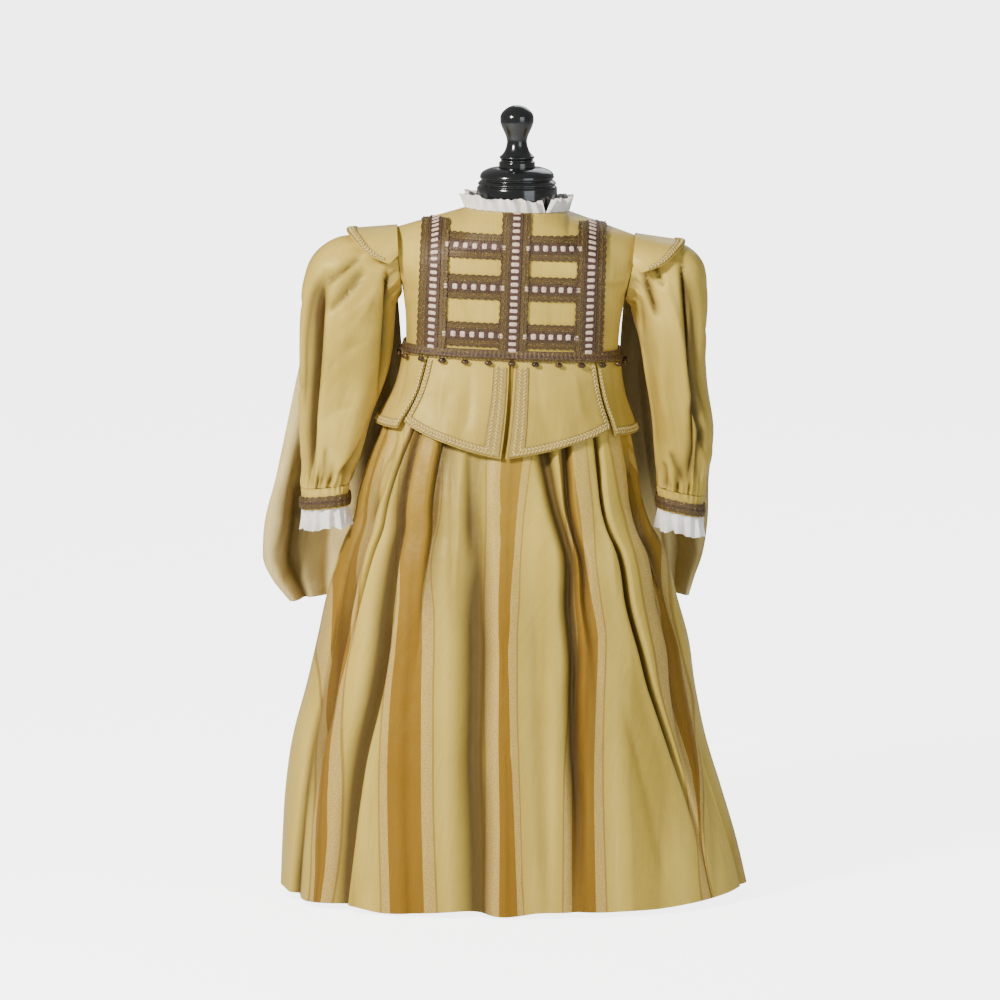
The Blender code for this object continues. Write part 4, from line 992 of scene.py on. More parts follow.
closed = ringed(skirt_outer)
calm = ringed(calmed(skirt_outer, STRIPE_STEPS))
x, y = seen(closed, "front")
front = front_stripes({"cloth": x, "calm": seen(calm, "front")[0]}, y)
round_front = np.abs((ringed(turned) + 180) % 360 - 180)
stripe = back_stripes(lengths(calm, 1), grid[:, 0, 2])
stripe = np.minimum(stripe, np.where(round_front < FRONT_REACH, front, 1))
print("golden bands in front", len(FRONT_BANDS), "and round the back", len(STRIPES))

# %% [markdown]
# The tube is cut into its four widths at the middle row's angles. Each width draws back a little from its
# seams, and reaches under the next one with a narrow allowance, as a sewn skirt does, so no light shows
# between them.

# %% The four widths of the skirt
run, down = lengths(closed, 1), lengths(closed, 0)
middle_angles = turned[len(turned) // 2]
wide, under = ALLOWANCE
for name, seams in WIDTHS.items():
    first, last = [int(np.argmin(np.abs((middle_angles - seam + 180) % 360 - 180))) for seam in seams]
    take = (first + np.arange((last - first) % len(middle_angles) + 1)) % len(middle_angles)
    part = skirt_outer[:, take]
    for edge, beside in ((0, 1), (-1, -2)):
        inwards = unit(part[:, beside] - part[:, edge])
        part[:, edge] += inwards * SEAM / 2
    tucked = part[:, -1] - inwards * wide - normals[:, take[-1]] * under
    part = np.concatenate([part, tucked[:, None]], axis=1)
    take = np.append(take, take[-1])
    flat = np.stack([run[:, take] * MM, down[:, take] * MM], axis=-1)
    flat[:, -1, 0] += wide * MM
    marks = {"stripe": stripe[:, take], "hollow": deep[:, take]}
    add_cloth(name, part, normals[:, take], "gathered", "striped_silk", marks=marks, flat=flat)

# %% [markdown]
# The bodice is four plain panels, fitted to the form and seamed at the centre, the sides and the
# shoulders. Its front carries the braids. A function gives the place of any point of the bodice from its
# distance to the centre line and its height, so panels and braids share one surface.

# %% The bodice's surface and its four panels
SIGN = {"left": -1.0, "right": 1.0}
NECK_HEIGHT, NECK_HALF_WIDTH = 878.0, 64.0
NECK_DEPTH = {"front": 58.0, "back": 57.0}
SHOULDER_POINT, SHOULDER_HEIGHT = 152.5, 849.0
UNDERARM_HEIGHT, UNDERARM_HALF_WIDTH = 767.0, 140.0
ARMHOLE_DEPTH = {"front": 36.0, "back": 34.0}
SHOULDER_ROUNDING, SHOULDER_ROUNDNESS, ARMHOLE_ROUNDNESS = 54.0, 1.8, 0.6
OUTWARDS = {"front": -1.0, "back": 1.0}
TORSO_COLUMNS = ("height", "half_width", "front", "back")
TORSO = (
    (WAIST, 134, 78, 72), (740, 136, 80, 72),
    (UNDERARM_HEIGHT, UNDERARM_HALF_WIDTH, 81, 73),
    (800, 146, 81, 74), (825, 151, 79, 74), (880, 156, 78, 74),
)
ROUNDING_FROM = 821.0  # above this height the rows of the bodice follow its top edge
BODICE_ROW_COUNT, SHOULDER_ROW_COUNT = 38, 20
LAST_UPRIGHT = 122.0  # from here the columns of a panel turn towards its side seam and armhole
BODICE_COLUMN_COUNT, SIDE_COLUMN_COUNT = 46, 14
BODICE_CREASES = (
    ("front", 603, 286, 630, 282, -2, 5, 4, -2.2),
    ("front", 605, 278, 628, 273, -2, 5, 5, 1.4),
    ("front", 408, 290, 428, 296, 2, 4, 4, -1.2),
    ("front", 452, 270, 470, 330, 2, 7, 5, -1.1),
    ("front", 548, 300, 556, 348, -2, 5, 6, -1.3),
    ("front", 474, 305, 462, 346, 2, 4, 6, -1.1),
    ("front", 604, 318, 596, 352, 3, 5, 5, -1.6),
    ("front", 405, 300, 412, 350, -2, 5, 5, -1.5),
    ("back", 470, 250, 488, 340, 4, 6, 6, -1.5),
    ("back", 560, 262, 546, 346, -4, 6, 6, -1.5),
    ("back", 420, 300, 446, 350, 4, 7, 5, -1.8),
    ("back", 606, 296, 590, 350, -4, 5, 7, -1.8),
)


def leaning(points):
    """Moves points of the upright bodice to where they hang."""
    x, y, z = points[..., 0], points[..., 1], points[..., 2]
    return np.stack([x + WAIST_SHIFT + LEAN * (z - WAIST), y, z - LEAN * x], axis=-1)


def shoulder_line(x):
    slope = (NECK_HEIGHT - SHOULDER_HEIGHT) / (SHOULDER_POINT - NECK_HALF_WIDTH)
    return NECK_HEIGHT - slope * np.maximum(x - NECK_HALF_WIDTH, 0)


def torso_depth(x, height, half):
    """How far the bodice stands in front of or behind its side seams."""
    torso = columns_of(TORSO_COLUMNS, TORSO)
    width = smooth(torso["height"], torso["half_width"], height)
    round_part = (1 - np.clip(np.abs(x / width), 0, 1) ** TORSO_SQUARENESS) ** (1 / TORSO_SQUARENESS)
    depth = smooth(torso["height"], torso[half], height) * round_part
    top = NECK_DEPTH[half] * np.sqrt(np.clip(1 - (x / NECK_HALF_WIDTH) ** 2, 0, 1))
    left_to_top = np.clip((shoulder_line(x) - height) / SHOULDER_ROUNDING, 0, 1)
    rolled = (1 - (1 - left_to_top) ** SHOULDER_ROUNDNESS) ** (1 / SHOULDER_ROUNDNESS)
    return top + (np.maximum(depth, top) - top) * rolled


def bodice_heights(x):
    low = np.linspace(WAIST + 0.2, ROUNDING_FROM, BODICE_ROW_COUNT)
    way = np.sin(np.linspace(0, math.pi / 2, SHOULDER_ROW_COUNT + 1)[1:])
    return np.concatenate([low, ROUNDING_FROM + way * (shoulder_line(x) - ROUNDING_FROM)])


def armhole_depth(half, way):
    """Depth of the armhole's edge, from the underarm at 0 to the shoulder point at 1."""
    return ARMHOLE_DEPTH[half] * (4 * way * (1 - way)) ** ARMHOLE_ROUNDNESS


def bodice_panel(side, half):
    """The outer face of one panel, upright: rows upwards, columns from the centre to the side."""
    torso = columns_of(TORSO_COLUMNS, TORSO)
    columns = []
    for x in np.linspace(SEAM / 2, LAST_UPRIGHT, BODICE_COLUMN_COUNT):
        heights = bodice_heights(x)
        columns.append(np.stack([np.full(len(heights), x), torso_depth(x, heights, half), heights], axis=-1))
    edge_heights = bodice_heights(SHOULDER_POINT)
    way = np.clip((edge_heights - UNDERARM_HEIGHT) / (SHOULDER_HEIGHT - UNDERARM_HEIGHT), 0, 1)
    seam = smooth(torso["height"], torso["half_width"], edge_heights)
    edge_x = np.where(way > 0, UNDERARM_HALF_WIDTH + way * (SHOULDER_POINT - UNDERARM_HALF_WIDTH), seam)
    edge = np.stack([edge_x, armhole_depth(half, way), edge_heights], axis=-1)
    above = ease(UNDERARM_HEIGHT - 6, UNDERARM_HEIGHT + 22, edge_heights)[:, None]
    for share in np.linspace(0, 1, SIDE_COLUMN_COUNT + 1)[1:]:
        straight = columns[BODICE_COLUMN_COUNT - 1] * (1 - share) + edge * share
        x = LAST_UPRIGHT + (seam - LAST_UPRIGHT) * math.sin(share * math.pi / 2)
        curved = np.stack([x, torso_depth(x, edge_heights, half), edge_heights], axis=-1)
        columns.append(curved * (1 - above) + straight * above)
    grid = np.stack(columns, axis=1)
    grid[..., 1] = OUTWARDS[half] * np.maximum(grid[..., 1], SEAM / 2)
    grid[..., 0] *= SIGN[side]
    return leaning(grid)


for half in ("front", "back"):
    for side in ("left", "right"):
        grid = bodice_panel(side, half)
        normals = outward(grid, normals_of(grid))
        relief = crease_relief(grid, normals, BODICE_CREASES)
        add_cloth(f"bodice_{half}_{side}", grid, normals, "stretched", relief=relief)

# %% [markdown]
# The peplum is six flared panels round the waist, longer at the front point. Each panel is bordered with
# a pale cord edging. Across is the share of the way over a panel, and down the share of its drop.

# %% Peplum panels
PEPLUM_COLUMNS = ("height", "left", "right", "front", "back", "squareness")
PEPLUM = (
    (560, -197, 162, 122, 128, 2.5),
    (604, -176, 154, 107, 111, 2.6),
    (650, -152.5, 139.5, 93, 92, 2.7),
    (WAIST - 0.6, -140.8, 132.8, 81, 75, TORSO_SQUARENESS),
)
PEPLUM_PANEL_COLUMNS = ("name", "near_top", "near_hem", "far_top", "far_hem", "near_drop", "far_drop")
PEPLUM_PANELS = (
    ("front", 0.3, 0.3, 42.5, 49, 126, 88),
    ("side", 44, 51.5, 134, 130, 97, 97),
    ("back", 136, 132.5, 179.7, 179.7, 90, 112),
)
PEPLUM_GRID = {"front": (46, 40), "side": (44, 64), "back": (40, 40)}
PEPLUM_SHADE = 0.15  # painted shade on every panel, since the panels flare up into the light
PEPLUM_CREASES = (
    ("front", 470, 366, 462, 440, 3, 6, 7, -2.2),
    ("front", 446, 372, 440, 428, -2, 5, 6, 1.6),
    ("front", 538, 366, 548, 440, -3, 7, 6, -2),
    ("front", 572, 372, 580, 424, 2, 5, 5, 1.5),
    ("front", 418, 380, 404, 424, 2, 5, 5, -1.6),
    ("front", 632, 380, 644, 430, 2, 5, 6, -2.2),
    ("left", 480, 372, 470, 424, 2, 6, 6, -2.4),
    ("left", 546, 372, 560, 424, -2, 6, 6, -2.4),
    ("right", 478, 372, 468, 430, 2, 6, 6, -2.4),
    ("right", 548, 372, 560, 430, -2, 6, 6, -2.4),
    ("back", 470, 370, 458, 424, 2, 7, 6, -2.2),
    ("back", 560, 370, 574, 424, -2, 6, 7, -2.2),
)
# Small waves of a panel's hem: depth, how many across, how they lean, and where they start.
PEPLUM_WAVES = ((0.8, 2.3, 0.2, 0.1), (0.5, 4.1, 0.0, 0.5))


def between(first, last, share):
    return first + (last - first) * share


def peplum_point(panel, side, across, down):
    """A point of a peplum panel: across from its near edge to its far one, down from the waist to its hem."""
    near = between(panel["near_top"], panel["near_hem"], down)
    far = between(panel["far_top"], panel["far_hem"], down)
    drop = between(panel["near_drop"], panel["far_drop"], across)
    angles = SIGN[side] * between(near, far, across)
    points = rings_at(PEPLUM_COLUMNS, PEPLUM, angles, PEPLUM[-1][0] - down * drop)
    points[..., 2] -= LEAN * (points[..., 0] - WAIST_SHIFT)
    return points


def peplum_face(panel, side, across, down):
    """Points of a panel with its creases, and the normals there."""
    step = 0.01
    points = peplum_point(panel, side, across, down)
    beside = peplum_point(panel, side, across + step, down)
    below = peplum_point(panel, side, across, down + step)
    normals = outward(points, unit(np.cross(beside - points, below - points)))
    relief = crease_relief(points, normals, PEPLUM_CREASES)
    turns = [(depth, count * across + lean * down, at) for depth, count, lean, at in PEPLUM_WAVES]
    lift = ripple(*turns) * ease(0.2, 1.0, down)
    return points + normals * (relief + lift)[..., None], normals


for side in SIGN:
    for panel in records(PEPLUM_PANEL_COLUMNS, PEPLUM_PANELS):
        rows, columns = PEPLUM_GRID[panel["name"]]
        across, down = np.meshgrid(np.linspace(0, 1, columns), np.linspace(0, 1, rows))
        grid, normals = peplum_face(panel, side, across, down)
        # Painted shade, even over the whole panel.
        marks = {"hollow": np.full(grid.shape[:2], PEPLUM_SHADE)}
        add_cloth(f"peplum_{panel['name']}_{side}", grid, normals, "hung", marks=marks)

# %% [markdown]
# The sleeves are full tubes, gathered into the armhole and again into the cuff band. Each ring runs from
# a point near the body to one far from it. Between the rings the tube is a smooth curve down every
# column, and short gathers at both ends fade into the fullness.

# %% Sleeves
SLEEVE_COLUMNS = ("near_x", "near_height", "far_x", "far_height", "half_depth", "depth_at", "gather")
SLEEVES = {
    "left": (
        (-150.5, 760, -180, 845, 42, 0, 2),
        (-151.5, 752, -222, 843, 48, 0, 2.8),
        (-152, 742, -252, 824, 51, -2, 2.8),
        (-152.5, 728, -268, 789, 53, -4, 2.6),
        (-156, 700, -273, 740, 53, -8, 3.4),
        (-167, 655, -274, 676, 51, -12, 4),
        (-183, 612, -274, 622, 48, -16, 3.6),
        (-194, 574, -272, 577, 44, -19, 3),
        (-203, 546, -271, 545, 38, -21, 2.6),
        (-210, 531, -271, 526, 32, -22, 1.4),
    ),
    "right": (
        (146.5, 756, 174, 838, 42, 0, 2),
        (148, 748, 212, 834, 48, 0, 2.8),
        (150, 738, 236, 814, 51, -2, 2.8),
        (154, 724, 243, 780, 53, -4, 2.6),
        (161, 696, 243, 732, 53, -8, 3.4),
        (168, 652, 241, 671, 51, -12, 4),
        (174, 606, 248, 616, 48, -16, 3.6),
        (177, 570, 250, 572, 45, -19, 3),
        (179, 543, 243, 538, 38, -21, 2.6),
        (180, 528, 239, 516, 32, -22, 1.4),
    ),
}
SLEEVE_SIDES, SLEEVE_ROW_COUNT = 152, 90
SLEEVE_GATHERS = 7
SLEEVE_SQUARENESS = 0.8  # 1 gives round rings, less gives flatter sides
ARMHOLE_GAP = SEAM + 0.6
# Broad waves over a sleeve: depth, how many round it and along it, and where they start.
SLEEVE_WAVES, SLEEVE_WAVES_FROM = ((0.5, 5, 2.2, 0.2), (0.2, 9, -3.1, 0.6)), (0.1, 0.3)
SLEEVE_SHADE_FRONT = (0.0, 0.6)  # the painted shade of creases is stronger the more they face the front
SLEEVE_CREASES = {
    "left": (
        ("front", 323, 288, 309, 484, 0, 6, 3.5, -17),
        ("front", 326, 285, 366, 252, -3, 3, 7, -6),
        ("front", 328, 314, 368, 268, -4, 3.5, 9, -7),
        ("front", 340, 346, 382, 272, -6, 9, 4, 3),
        ("front", 342, 322, 372, 296, -2, 9, 3, 3),
        ("front", 388, 266, 379, 420, 2, 2, 6, -11),
        ("front", 350, 300, 338, 460, -4, 16, 9, 3),
        ("front", 330, 372, 372, 338, 3, 4, 12, -2.5),
        ("front", 322, 424, 360, 404, 3, 4, 9, -2),
        ("front", 366, 436, 336, 478, 4, 3, 8, -8),
        ("front", 371, 432, 345, 470, 5, 5, 4, 4),
        ("front", 327, 446, 322, 490, 2, 3, 6, -4),
        ("left", 520, 300, 512, 470, 6, 12, 5, -8),
        ("left", 552, 290, 548, 440, -4, 5, 12, -6),
        ("left", 488, 320, 492, 480, 4, 6, 10, -6),
        ("left", 500, 352, 540, 330, 3, 4, 6, -3),
        ("left", 506, 430, 548, 412, 3, 4, 6, -3),
        ("back", 690, 300, 702, 460, 5, 5, 14, -6),
        ("back", 658, 290, 650, 420, -5, 12, 5, -6),
        ("back", 672, 420, 690, 480, -3, 4, 7, -5),
    ),
    "right": (
        ("front", 640, 260, 655, 320, -2, 2.5, 7, -9),
        ("front", 650, 257, 664, 292, -2, 2.5, 6, -8),
        ("front", 630, 270, 634, 330, 0, 3, 6, -4),
        ("front", 681, 256, 706, 456, -6, 3, 4.5, -13),
        ("front", 656, 262, 690, 420, 8, 10, 3, 4),
        ("front", 690, 400, 685, 484, 3, 5, 4, -9),
        ("front", 637, 290, 656, 470, -3, 3, 12, -5),
        ("front", 666, 452, 682, 490, 3, 3, 7, -6),
        ("front", 660, 462, 664, 494, 1, 3, 5, -4),
        ("front", 703, 426, 696, 484, -2, 4, 5, -6),
        ("right", 510, 300, 516, 470, 5, 5, 12, -8),
        ("right", 476, 290, 484, 450, -4, 12, 5, -6),
        ("right", 548, 310, 540, 470, 4, 10, 6, -6),
        ("right", 488, 362, 530, 340, 3, 4, 6, -3),
        ("back", 336, 300, 326, 460, 5, 14, 5, -6),
        ("back", 366, 290, 374, 420, -5, 5, 12, -6),
        ("back", 352, 420, 336, 478, 3, 4, 7, -5),
    ),
}
# Fine gathers at the head and at the cuff: how many, how deep, and how far along the sleeve they fade out.
GATHER_COLUMNS = ("count", "depth", "from_share", "to_share")
GATHERS = ((13, 2.2, 0.02, 0.16), (31, 1.0, 0.02, 0.1), (26, 2.4, 0.99, 0.93), (15, 2.6, 0.99, 0.87))
HEAD_CALM, CUFF_CALM = (0.0, 0.02), (0.98, 1.0)  # along the sleeve, where its relief dies away at its ends


def armhole_loop(side, sides):
    """The sleeve's edge at the armhole: from the underarm over the front to the shoulder, then the back."""
    loop = []
    for turn in np.arange(sides) * 2 * math.pi / sides:
        way = (1 - math.cos(turn)) / 2
        front = math.sin(turn) >= 0
        depth = armhole_depth("front" if front else "back", way)
        height = UNDERARM_HEIGHT + way * (SHOULDER_HEIGHT - UNDERARM_HEIGHT)
        x = UNDERARM_HALF_WIDTH + way * (SHOULDER_POINT - UNDERARM_HALF_WIDTH) + ARMHOLE_GAP
        loop.append((SIGN[side] * x, -depth if front else depth, height))
    return leaning(np.array(loop))


def sleeve_ring(row, sides, grow=0.0, fluting=1.0):
    """A ring between the near and the far point of a row, drawn in and out by a share of its gathers."""
    turns = np.arange(sides) * 2 * math.pi / sides
    near = np.array([row["near_x"], 0, row["near_height"]])
    far = np.array([row["far_x"], 0, row["far_height"]])
    middle, reach = (near + far) / 2, (far - near) / 2
    waves = np.sin(SLEEVE_GATHERS * turns + 0.9) + 0.45 * np.sin((SLEEVE_GATHERS + 3) * turns + 2.1) - 0.5
    scale = 1 + (grow + fluting * row["gather"] * waves) / np.linalg.norm(reach)
    across, deep = [np.sign(wave) * np.abs(wave) ** SLEEVE_SQUARENESS
                    for wave in (np.cos(turns), np.sin(turns))]
    ring = middle - (across * scale)[:, None] * reach
    ring[:, 1] += row["depth_at"] - deep * scale * row["half_depth"]
    return ring


def tube_normals(grid):
    """Normals of a ring-shaped grid that point away from the middle of each ring."""
    normals = normals_of(grid, wrap=True)
    away = grid - grid.mean(axis=1, keepdims=True)
    return normals if np.median(np.sum(away * normals, axis=-1)) > 0 else -normals


def sleeve_face(side):
    """The sleeve's smooth outer face, and each ring's share of the way along it."""
    rings = [sleeve_ring(row, SLEEVE_SIDES, fluting=0.25) for row in records(SLEEVE_COLUMNS, SLEEVES[side])]
    rings = np.array([armhole_loop(side, SLEEVE_SIDES)] + rings)
    steps = np.linalg.norm(np.diff(rings.mean(axis=1), axis=0), axis=1)
    stations = np.concatenate([[0], np.cumsum(steps)])
    at = np.linspace(0, stations[-1], SLEEVE_ROW_COUNT)
    tracks = rings.reshape(len(rings), -1).T
    grid = np.stack([smooth(stations, track, at) for track in tracks], axis=-1)
    return grid.reshape(SLEEVE_ROW_COUNT, SLEEVE_SIDES, 3), (at / stations[-1])[:, None]


def gathered(relief, share, turn):
    """The relief with the fine gathers at both ends, uneven in depth and never quite straight."""
    for gather in records(GATHER_COLUMNS, GATHERS):
        fade = 1 - ease(0, 1, (share - gather["from_share"]) / (gather["to_share"] - gather["from_share"]))
        uneven = 0.75 + 0.25 * np.sin(2 * math.pi * (3 * turn + gather["count"] / 10))
        bend = 0.05 * np.sin(2 * math.pi * (2 * turn + 0.3)) * share
        flutes = np.sin(2 * math.pi * gather["count"] * (turn + bend)) - 0.4
        relief = relief + gather["depth"] * fade * uneven * flutes
    return relief


for side in SIGN:
    grid, share = sleeve_face(side)
    normals = tube_normals(grid)
    turn = (np.arange(SLEEVE_SIDES) / SLEEVE_SIDES)[None, :]
    relief = gathered(crease_relief(grid, normals, SLEEVE_CREASES[side]), share, turn)
    relief *= ease(*HEAD_CALM, share) * (1 - 0.5 * ease(*CUFF_CALM, share))
    turns = [(depth, count * turn + along * share, at) for depth, count, along, at in SLEEVE_WAVES]
    relief += ripple(*turns) * ease(*SLEEVE_WAVES_FROM, share)
    print(f"sleeve_{side}: creases from {relief.min():.1f} to {relief.max():.1f} mm")
    # Painted shade in the sleeve's troughs, stronger where they face the front.
    to_front = 0.5 + 0.5 * ease(*SLEEVE_SHADE_FRONT, -normals[..., 1])
    marks = {"hollow": np.clip(-relief / FULL_SHADE_DEPTH, 0, 1) * to_front}
    add_cloth(f"sleeve_{side}", grid, normals, "gathered", relief=relief, wrap=True, marks=marks)

# %% [markdown]
# The hanging over-sleeves are open sheets behind the arms, from the armhole down past the elbow. Each row
# of their tables gives the near edge, the middle and the far edge.

# %% Hanging over-sleeves
HANGING_COLUMNS = ("height", "near_x", "near_y", "middle_x", "middle_y", "far_x", "far_y")
HANGING = {
    "left": (
        (816, -161, 42.4, -184, 45.8, -208, 44.8),
        (780, -152, 58, -196, 64, -240, 58),
        (720, -146, 64, -202, 76, -262, 56),
        (650, -143, 74, -211, 86, -279, 44),
        (590, -150, 84, -222, 95, -292, 34),
        (530, -162, 94, -236, 100, -305, 26),
        (475, -178, 102, -248, 102, -319, 20),
        (430, -190, 108, -256, 101, -322, 18),
        (398, -196, 112, -256, 100, -310, 24),
        (368, -204, 115, -252, 98, -288, 40),
    ),
    "right": (
        (805, 155, 42, 178, 48, 202, 45.6),
        (774, 143, 58, 188, 64, 228, 58),
        (714, 135, 64, 188, 76, 240, 60),
        (645, 134, 74, 191, 87, 246, 58),
        (585, 140, 84, 196, 98, 254, 56),
        (525, 150, 95, 200, 108, 248, 56),
        (470, 165, 106, 206, 116, 247, 60),
        (425, 178, 115, 208, 122, 241, 68),
        (398, 181, 120, 206, 124, 232, 78),
        (368, 186, 126, 206, 126, 224, 96),
    ),
}
# The dark of each fold is painted shade in its trough.
HANGING_FOLD_COLUMNS = ("across", "depth", "width", "dark")
HANGING_FOLDS = {
    "left": ((0.12, 6.0, 0.07, 0.2), (0.38, 8.0, 0.08, 0.2), (0.73, 20.0, 0.085, 0.95),
             (1.02, 20, 0.09, 0)),
    "right": ((0.2, 8.0, 0.08, 0.2), (0.5, 7.0, 0.09, 0.25), (1.02, 14.0, 0.12, 0.0)),
}
HANGING_GRID = (78, 62)
# Between the arm and the body the sheet gets painted shade: how much, from which height up, and how far
# across.
HANGING_SHADE, HANGING_SHADE_FROM, HANGING_SHADE_TO = 0.8, (440.0, 560.0), (0.3, 0.75)
HANGING_CREASES = (
    ("front", 294, 476, 283, 588, 4, 6, 8, -5),
    ("front", 278, 480, 268, 560, 3, 6, 5, 3),
    ("back", 742, 470, 752, 570, 3, 7, 7, -5),
    ("back", 716, 300, 728, 470, 5, 8, 8, -4),
    ("back", 690, 470, 694, 590, 3, 6, 8, -4),
    ("back", 336, 460, 328, 580, 3, 7, 7, -5),
    ("back", 350, 300, 346, 450, 4, 8, 8, -4),
    ("left", 560, 330, 580, 560, 5, 8, 6, -4),
    ("right", 470, 340, 452, 570, 5, 6, 8, -4),
)
HANGING_CREASE_SHADE = 0.6  # how dark the painted shade in its creases gets
FOLDED_ROWS = -5  # the folds fade out over the last rows of the table, towards the armhole


def hanging_face(side):
    """The sheet, and its painted shade: between the arm and the body, and in its folds as far as they have
    opened.
    """
    rows = columns_of(HANGING_COLUMNS, sorted(HANGING[side]))
    row_count, column_count = HANGING_GRID
    heights = np.linspace(rows["height"][0], rows["height"][-1], row_count)
    sizes = {key: smooth(rows["height"], rows[key], heights) for key in HANGING_COLUMNS[1:]}
    across = np.linspace(0, 1, column_count)
    folded = 1 - ease(rows["height"][FOLDED_ROWS], rows["height"][-1], heights)
    folds = records(HANGING_FOLD_COLUMNS, HANGING_FOLDS[side])
    shapes = [np.exp(-(((across - fold["across"]) / fold["width"]) ** 2)) for fold in folds]
    pushed = sum(fold["depth"] * shape for fold, shape in zip(folds, shapes))
    dark = sum(fold["dark"] * shape for fold, shape in zip(folds, shapes))
    grid = []
    for i, height in enumerate(heights):
        x, y = [smooth((0, 0.5, 1), [sizes[f"{at}_{axis}"][i] for at in ("near", "middle", "far")], across)
                for axis in "xy"]
        grid.append(np.stack([x, y + folded[i] * pushed, np.full(column_count, height)], axis=-1))
    in_shade = ease(*HANGING_SHADE_FROM, heights)[:, None] * (1 - ease(*HANGING_SHADE_TO, across))[None, :]
    return np.array(grid), np.maximum(in_shade, folded[:, None] ** 0.5 * dark[None, :])


for side in SIGN:
    grid, in_shade = hanging_face(side)
    normals = normals_of(grid)
    normals = normals if np.median(normals[..., 1]) > 0 else -normals
    front_side = crease_relief(grid, -normals, [row for row in HANGING_CREASES if row[0] == "front"])
    relief = crease_relief(grid, normals, [row for row in HANGING_CREASES if row[0] != "front"]) - front_side
    # Painted shade in the creases on both faces, and on the front face also between the arm and the body.
    hollow = np.clip(np.abs(relief) / FULL_SHADE_DEPTH, 0, 1) * HANGING_CREASE_SHADE
    marks = {"hollow": np.stack([hollow, np.maximum(hollow, HANGING_SHADE * in_shade)])}
    # The front face is lined with a paler copy of the taffeta: painted light, since it stands in shade.
    add_cloth(f"hanging_sleeve_{side}", grid, normals, "hung", relief=relief, marks=marks,
              lining="silk_lining")

# %% [markdown]
# Trimmings repeat one small thing along a line: ribbon squares, twists of cord, beads and loops. One
# Geometry Nodes tree does them all. It spaces points evenly along a path, turns each piece to the path
# and to the cloth's facing, varies its size a little and makes it real mesh. A second tree waves the
# frills, because their shape follows a rule: no wave at the seam and full waves at the free edge.

# %% Two node trees: repeat along a path, and ruffle


class Recipe(Network):
    """A Geometry Nodes tree with named inputs, which runs once on a piece."""

    def __init__(self, name, inputs):
        super().__init__(bpy.data.node_groups.new(name, "GeometryNodeTree"))
        face = self.tree.interface
        face.new_socket("Geometry", in_out="INPUT", socket_type="NodeSocketGeometry")
        face.new_socket("Geometry", in_out="OUTPUT", socket_type="NodeSocketGeometry")
        for key, kind in inputs.items():
            face.new_socket(key, in_out="INPUT", socket_type=f"NodeSocket{kind}")
        self.inputs = self.tree.nodes.new("NodeGroupInput").outputs
        self.output = self.tree.nodes.new("NodeGroupOutput").inputs["Geometry"]

    def attribute(self, name, kind="FLOAT"):
        return self.add("GeometryNodeInputNamedAttribute", {"Name": name}, data_type=kind)

    def math(self, operation, first, second=0.0):
        return self.add("ShaderNodeMath", {0: first, 1: second}, operation=operation)

    def gives(self, geometry):
        self.tree.links.new(geometry, self.output)

    def run(self, piece, **values):
        """Gives the piece the mesh that the tree makes of it."""
        step = piece.modifiers.new(self.tree.name, "NODES")
        step.node_group = self.tree
        for socket in self.tree.interface.items_tree:
            if socket.in_out == "INPUT" and socket.name in values:
                step[socket.identifier] = values[socket.name]
        graph = bpy.context.evaluated_depsgraph_get()
        made = piece.evaluated_get(graph)
        mesh = bpy.data.meshes.new_from_object(made, preserve_all_data_layers=True, depsgraph=graph)
        piece.modifiers.clear()
        piece.data = mesh
        return piece


GRAIN, PILLOW, LOOP = 0, 1, 2  # the small shapes that the tree can repeat


def repeat_recipe():
    """Small shapes at an even pitch along a path, turned to it and to the cloth's facing."""
    tree = Recipe("repeat_along_a_path", {
        "Pitch": "Float", "Size": "Vector", "Shape": "Int", "Tilt": "Float", "Vary": "Float", "Seed": "Int",
        "Finish": "Material",
    })
    given = tree.inputs
    grain = tree.add("GeometryNodeMeshUVSphere", {"Segments": 6, "Rings": 4, "Radius": 0.5})
    block = tree.add("GeometryNodeMeshCube", {"Vertices X": 3, "Vertices Y": 4, "Vertices Z": 2})
    pillow = tree.add("GeometryNodeSubdivisionSurface", {"Mesh": block, "Level": 1})
    ring = tree.add("GeometryNodeCurvePrimitiveCircle", {"Resolution": 10, "Radius": 0.5})
    wire = tree.add("GeometryNodeCurvePrimitiveCircle", {"Resolution": 5, "Radius": 0.13})
    loop = tree.add("GeometryNodeCurveToMesh", {"Curve": ring, "Profile Curve": wire})
    choice = tree.add("GeometryNodeIndexSwitch", data_type="GEOMETRY").node
    choice.index_switch_items.new()
    tree.feed(choice, {"Index": given["Shape"], 1: grain, 2: pillow, 3: loop})
    sized = tree.add("GeometryNodeTransform", {"Geometry": choice.outputs[0], "Scale": given["Size"]})
    path = tree.add("GeometryNodeMeshToCurve", {"Mesh": given["Geometry"]})
    even = tree.add("GeometryNodeResampleCurve", {"Curve": path, "Length": given["Pitch"]}, mode="LENGTH")
    align, tangent = "FunctionNodeAlignRotationToVector", tree.add("GeometryNodeInputTangent")
    facing_up = tree.add(align, {"Vector": tree.attribute("facing", "FLOAT_VECTOR")}, axis="Z")
    turned = tree.add(align, {"Rotation": facing_up, "Vector": tangent}, axis="X", pivot_axis="Z")
    tilt = tree.add("FunctionNodeAxisAngleToRotation", {"Axis": (0, 0, 1), "Angle": given["Tilt"]})
    turned = tree.add("FunctionNodeRotateRotation", {"Rotation": turned, "Rotate By": tilt},
                      rotation_space="LOCAL")
    low, high = tree.math("SUBTRACT", 1.0, given["Vary"]), tree.math("ADD", 1.0, given["Vary"])
    size = tree.add("FunctionNodeRandomValue", {2: low, 3: high, "Seed": given["Seed"]}, out=1)
    placed = {"Points": even, "Instance": sized, "Rotation": turned, "Scale": size}
    copies = tree.add("GeometryNodeInstanceOnPoints", placed)
    real = tree.add("GeometryNodeRealizeInstances", {"Geometry": copies})
    soft = tree.add("GeometryNodeSetShadeSmooth", {"Geometry": real})
    tree.gives(tree.add("GeometryNodeSetMaterial", {"Geometry": soft, "Material": given["Finish"]}))
    return tree


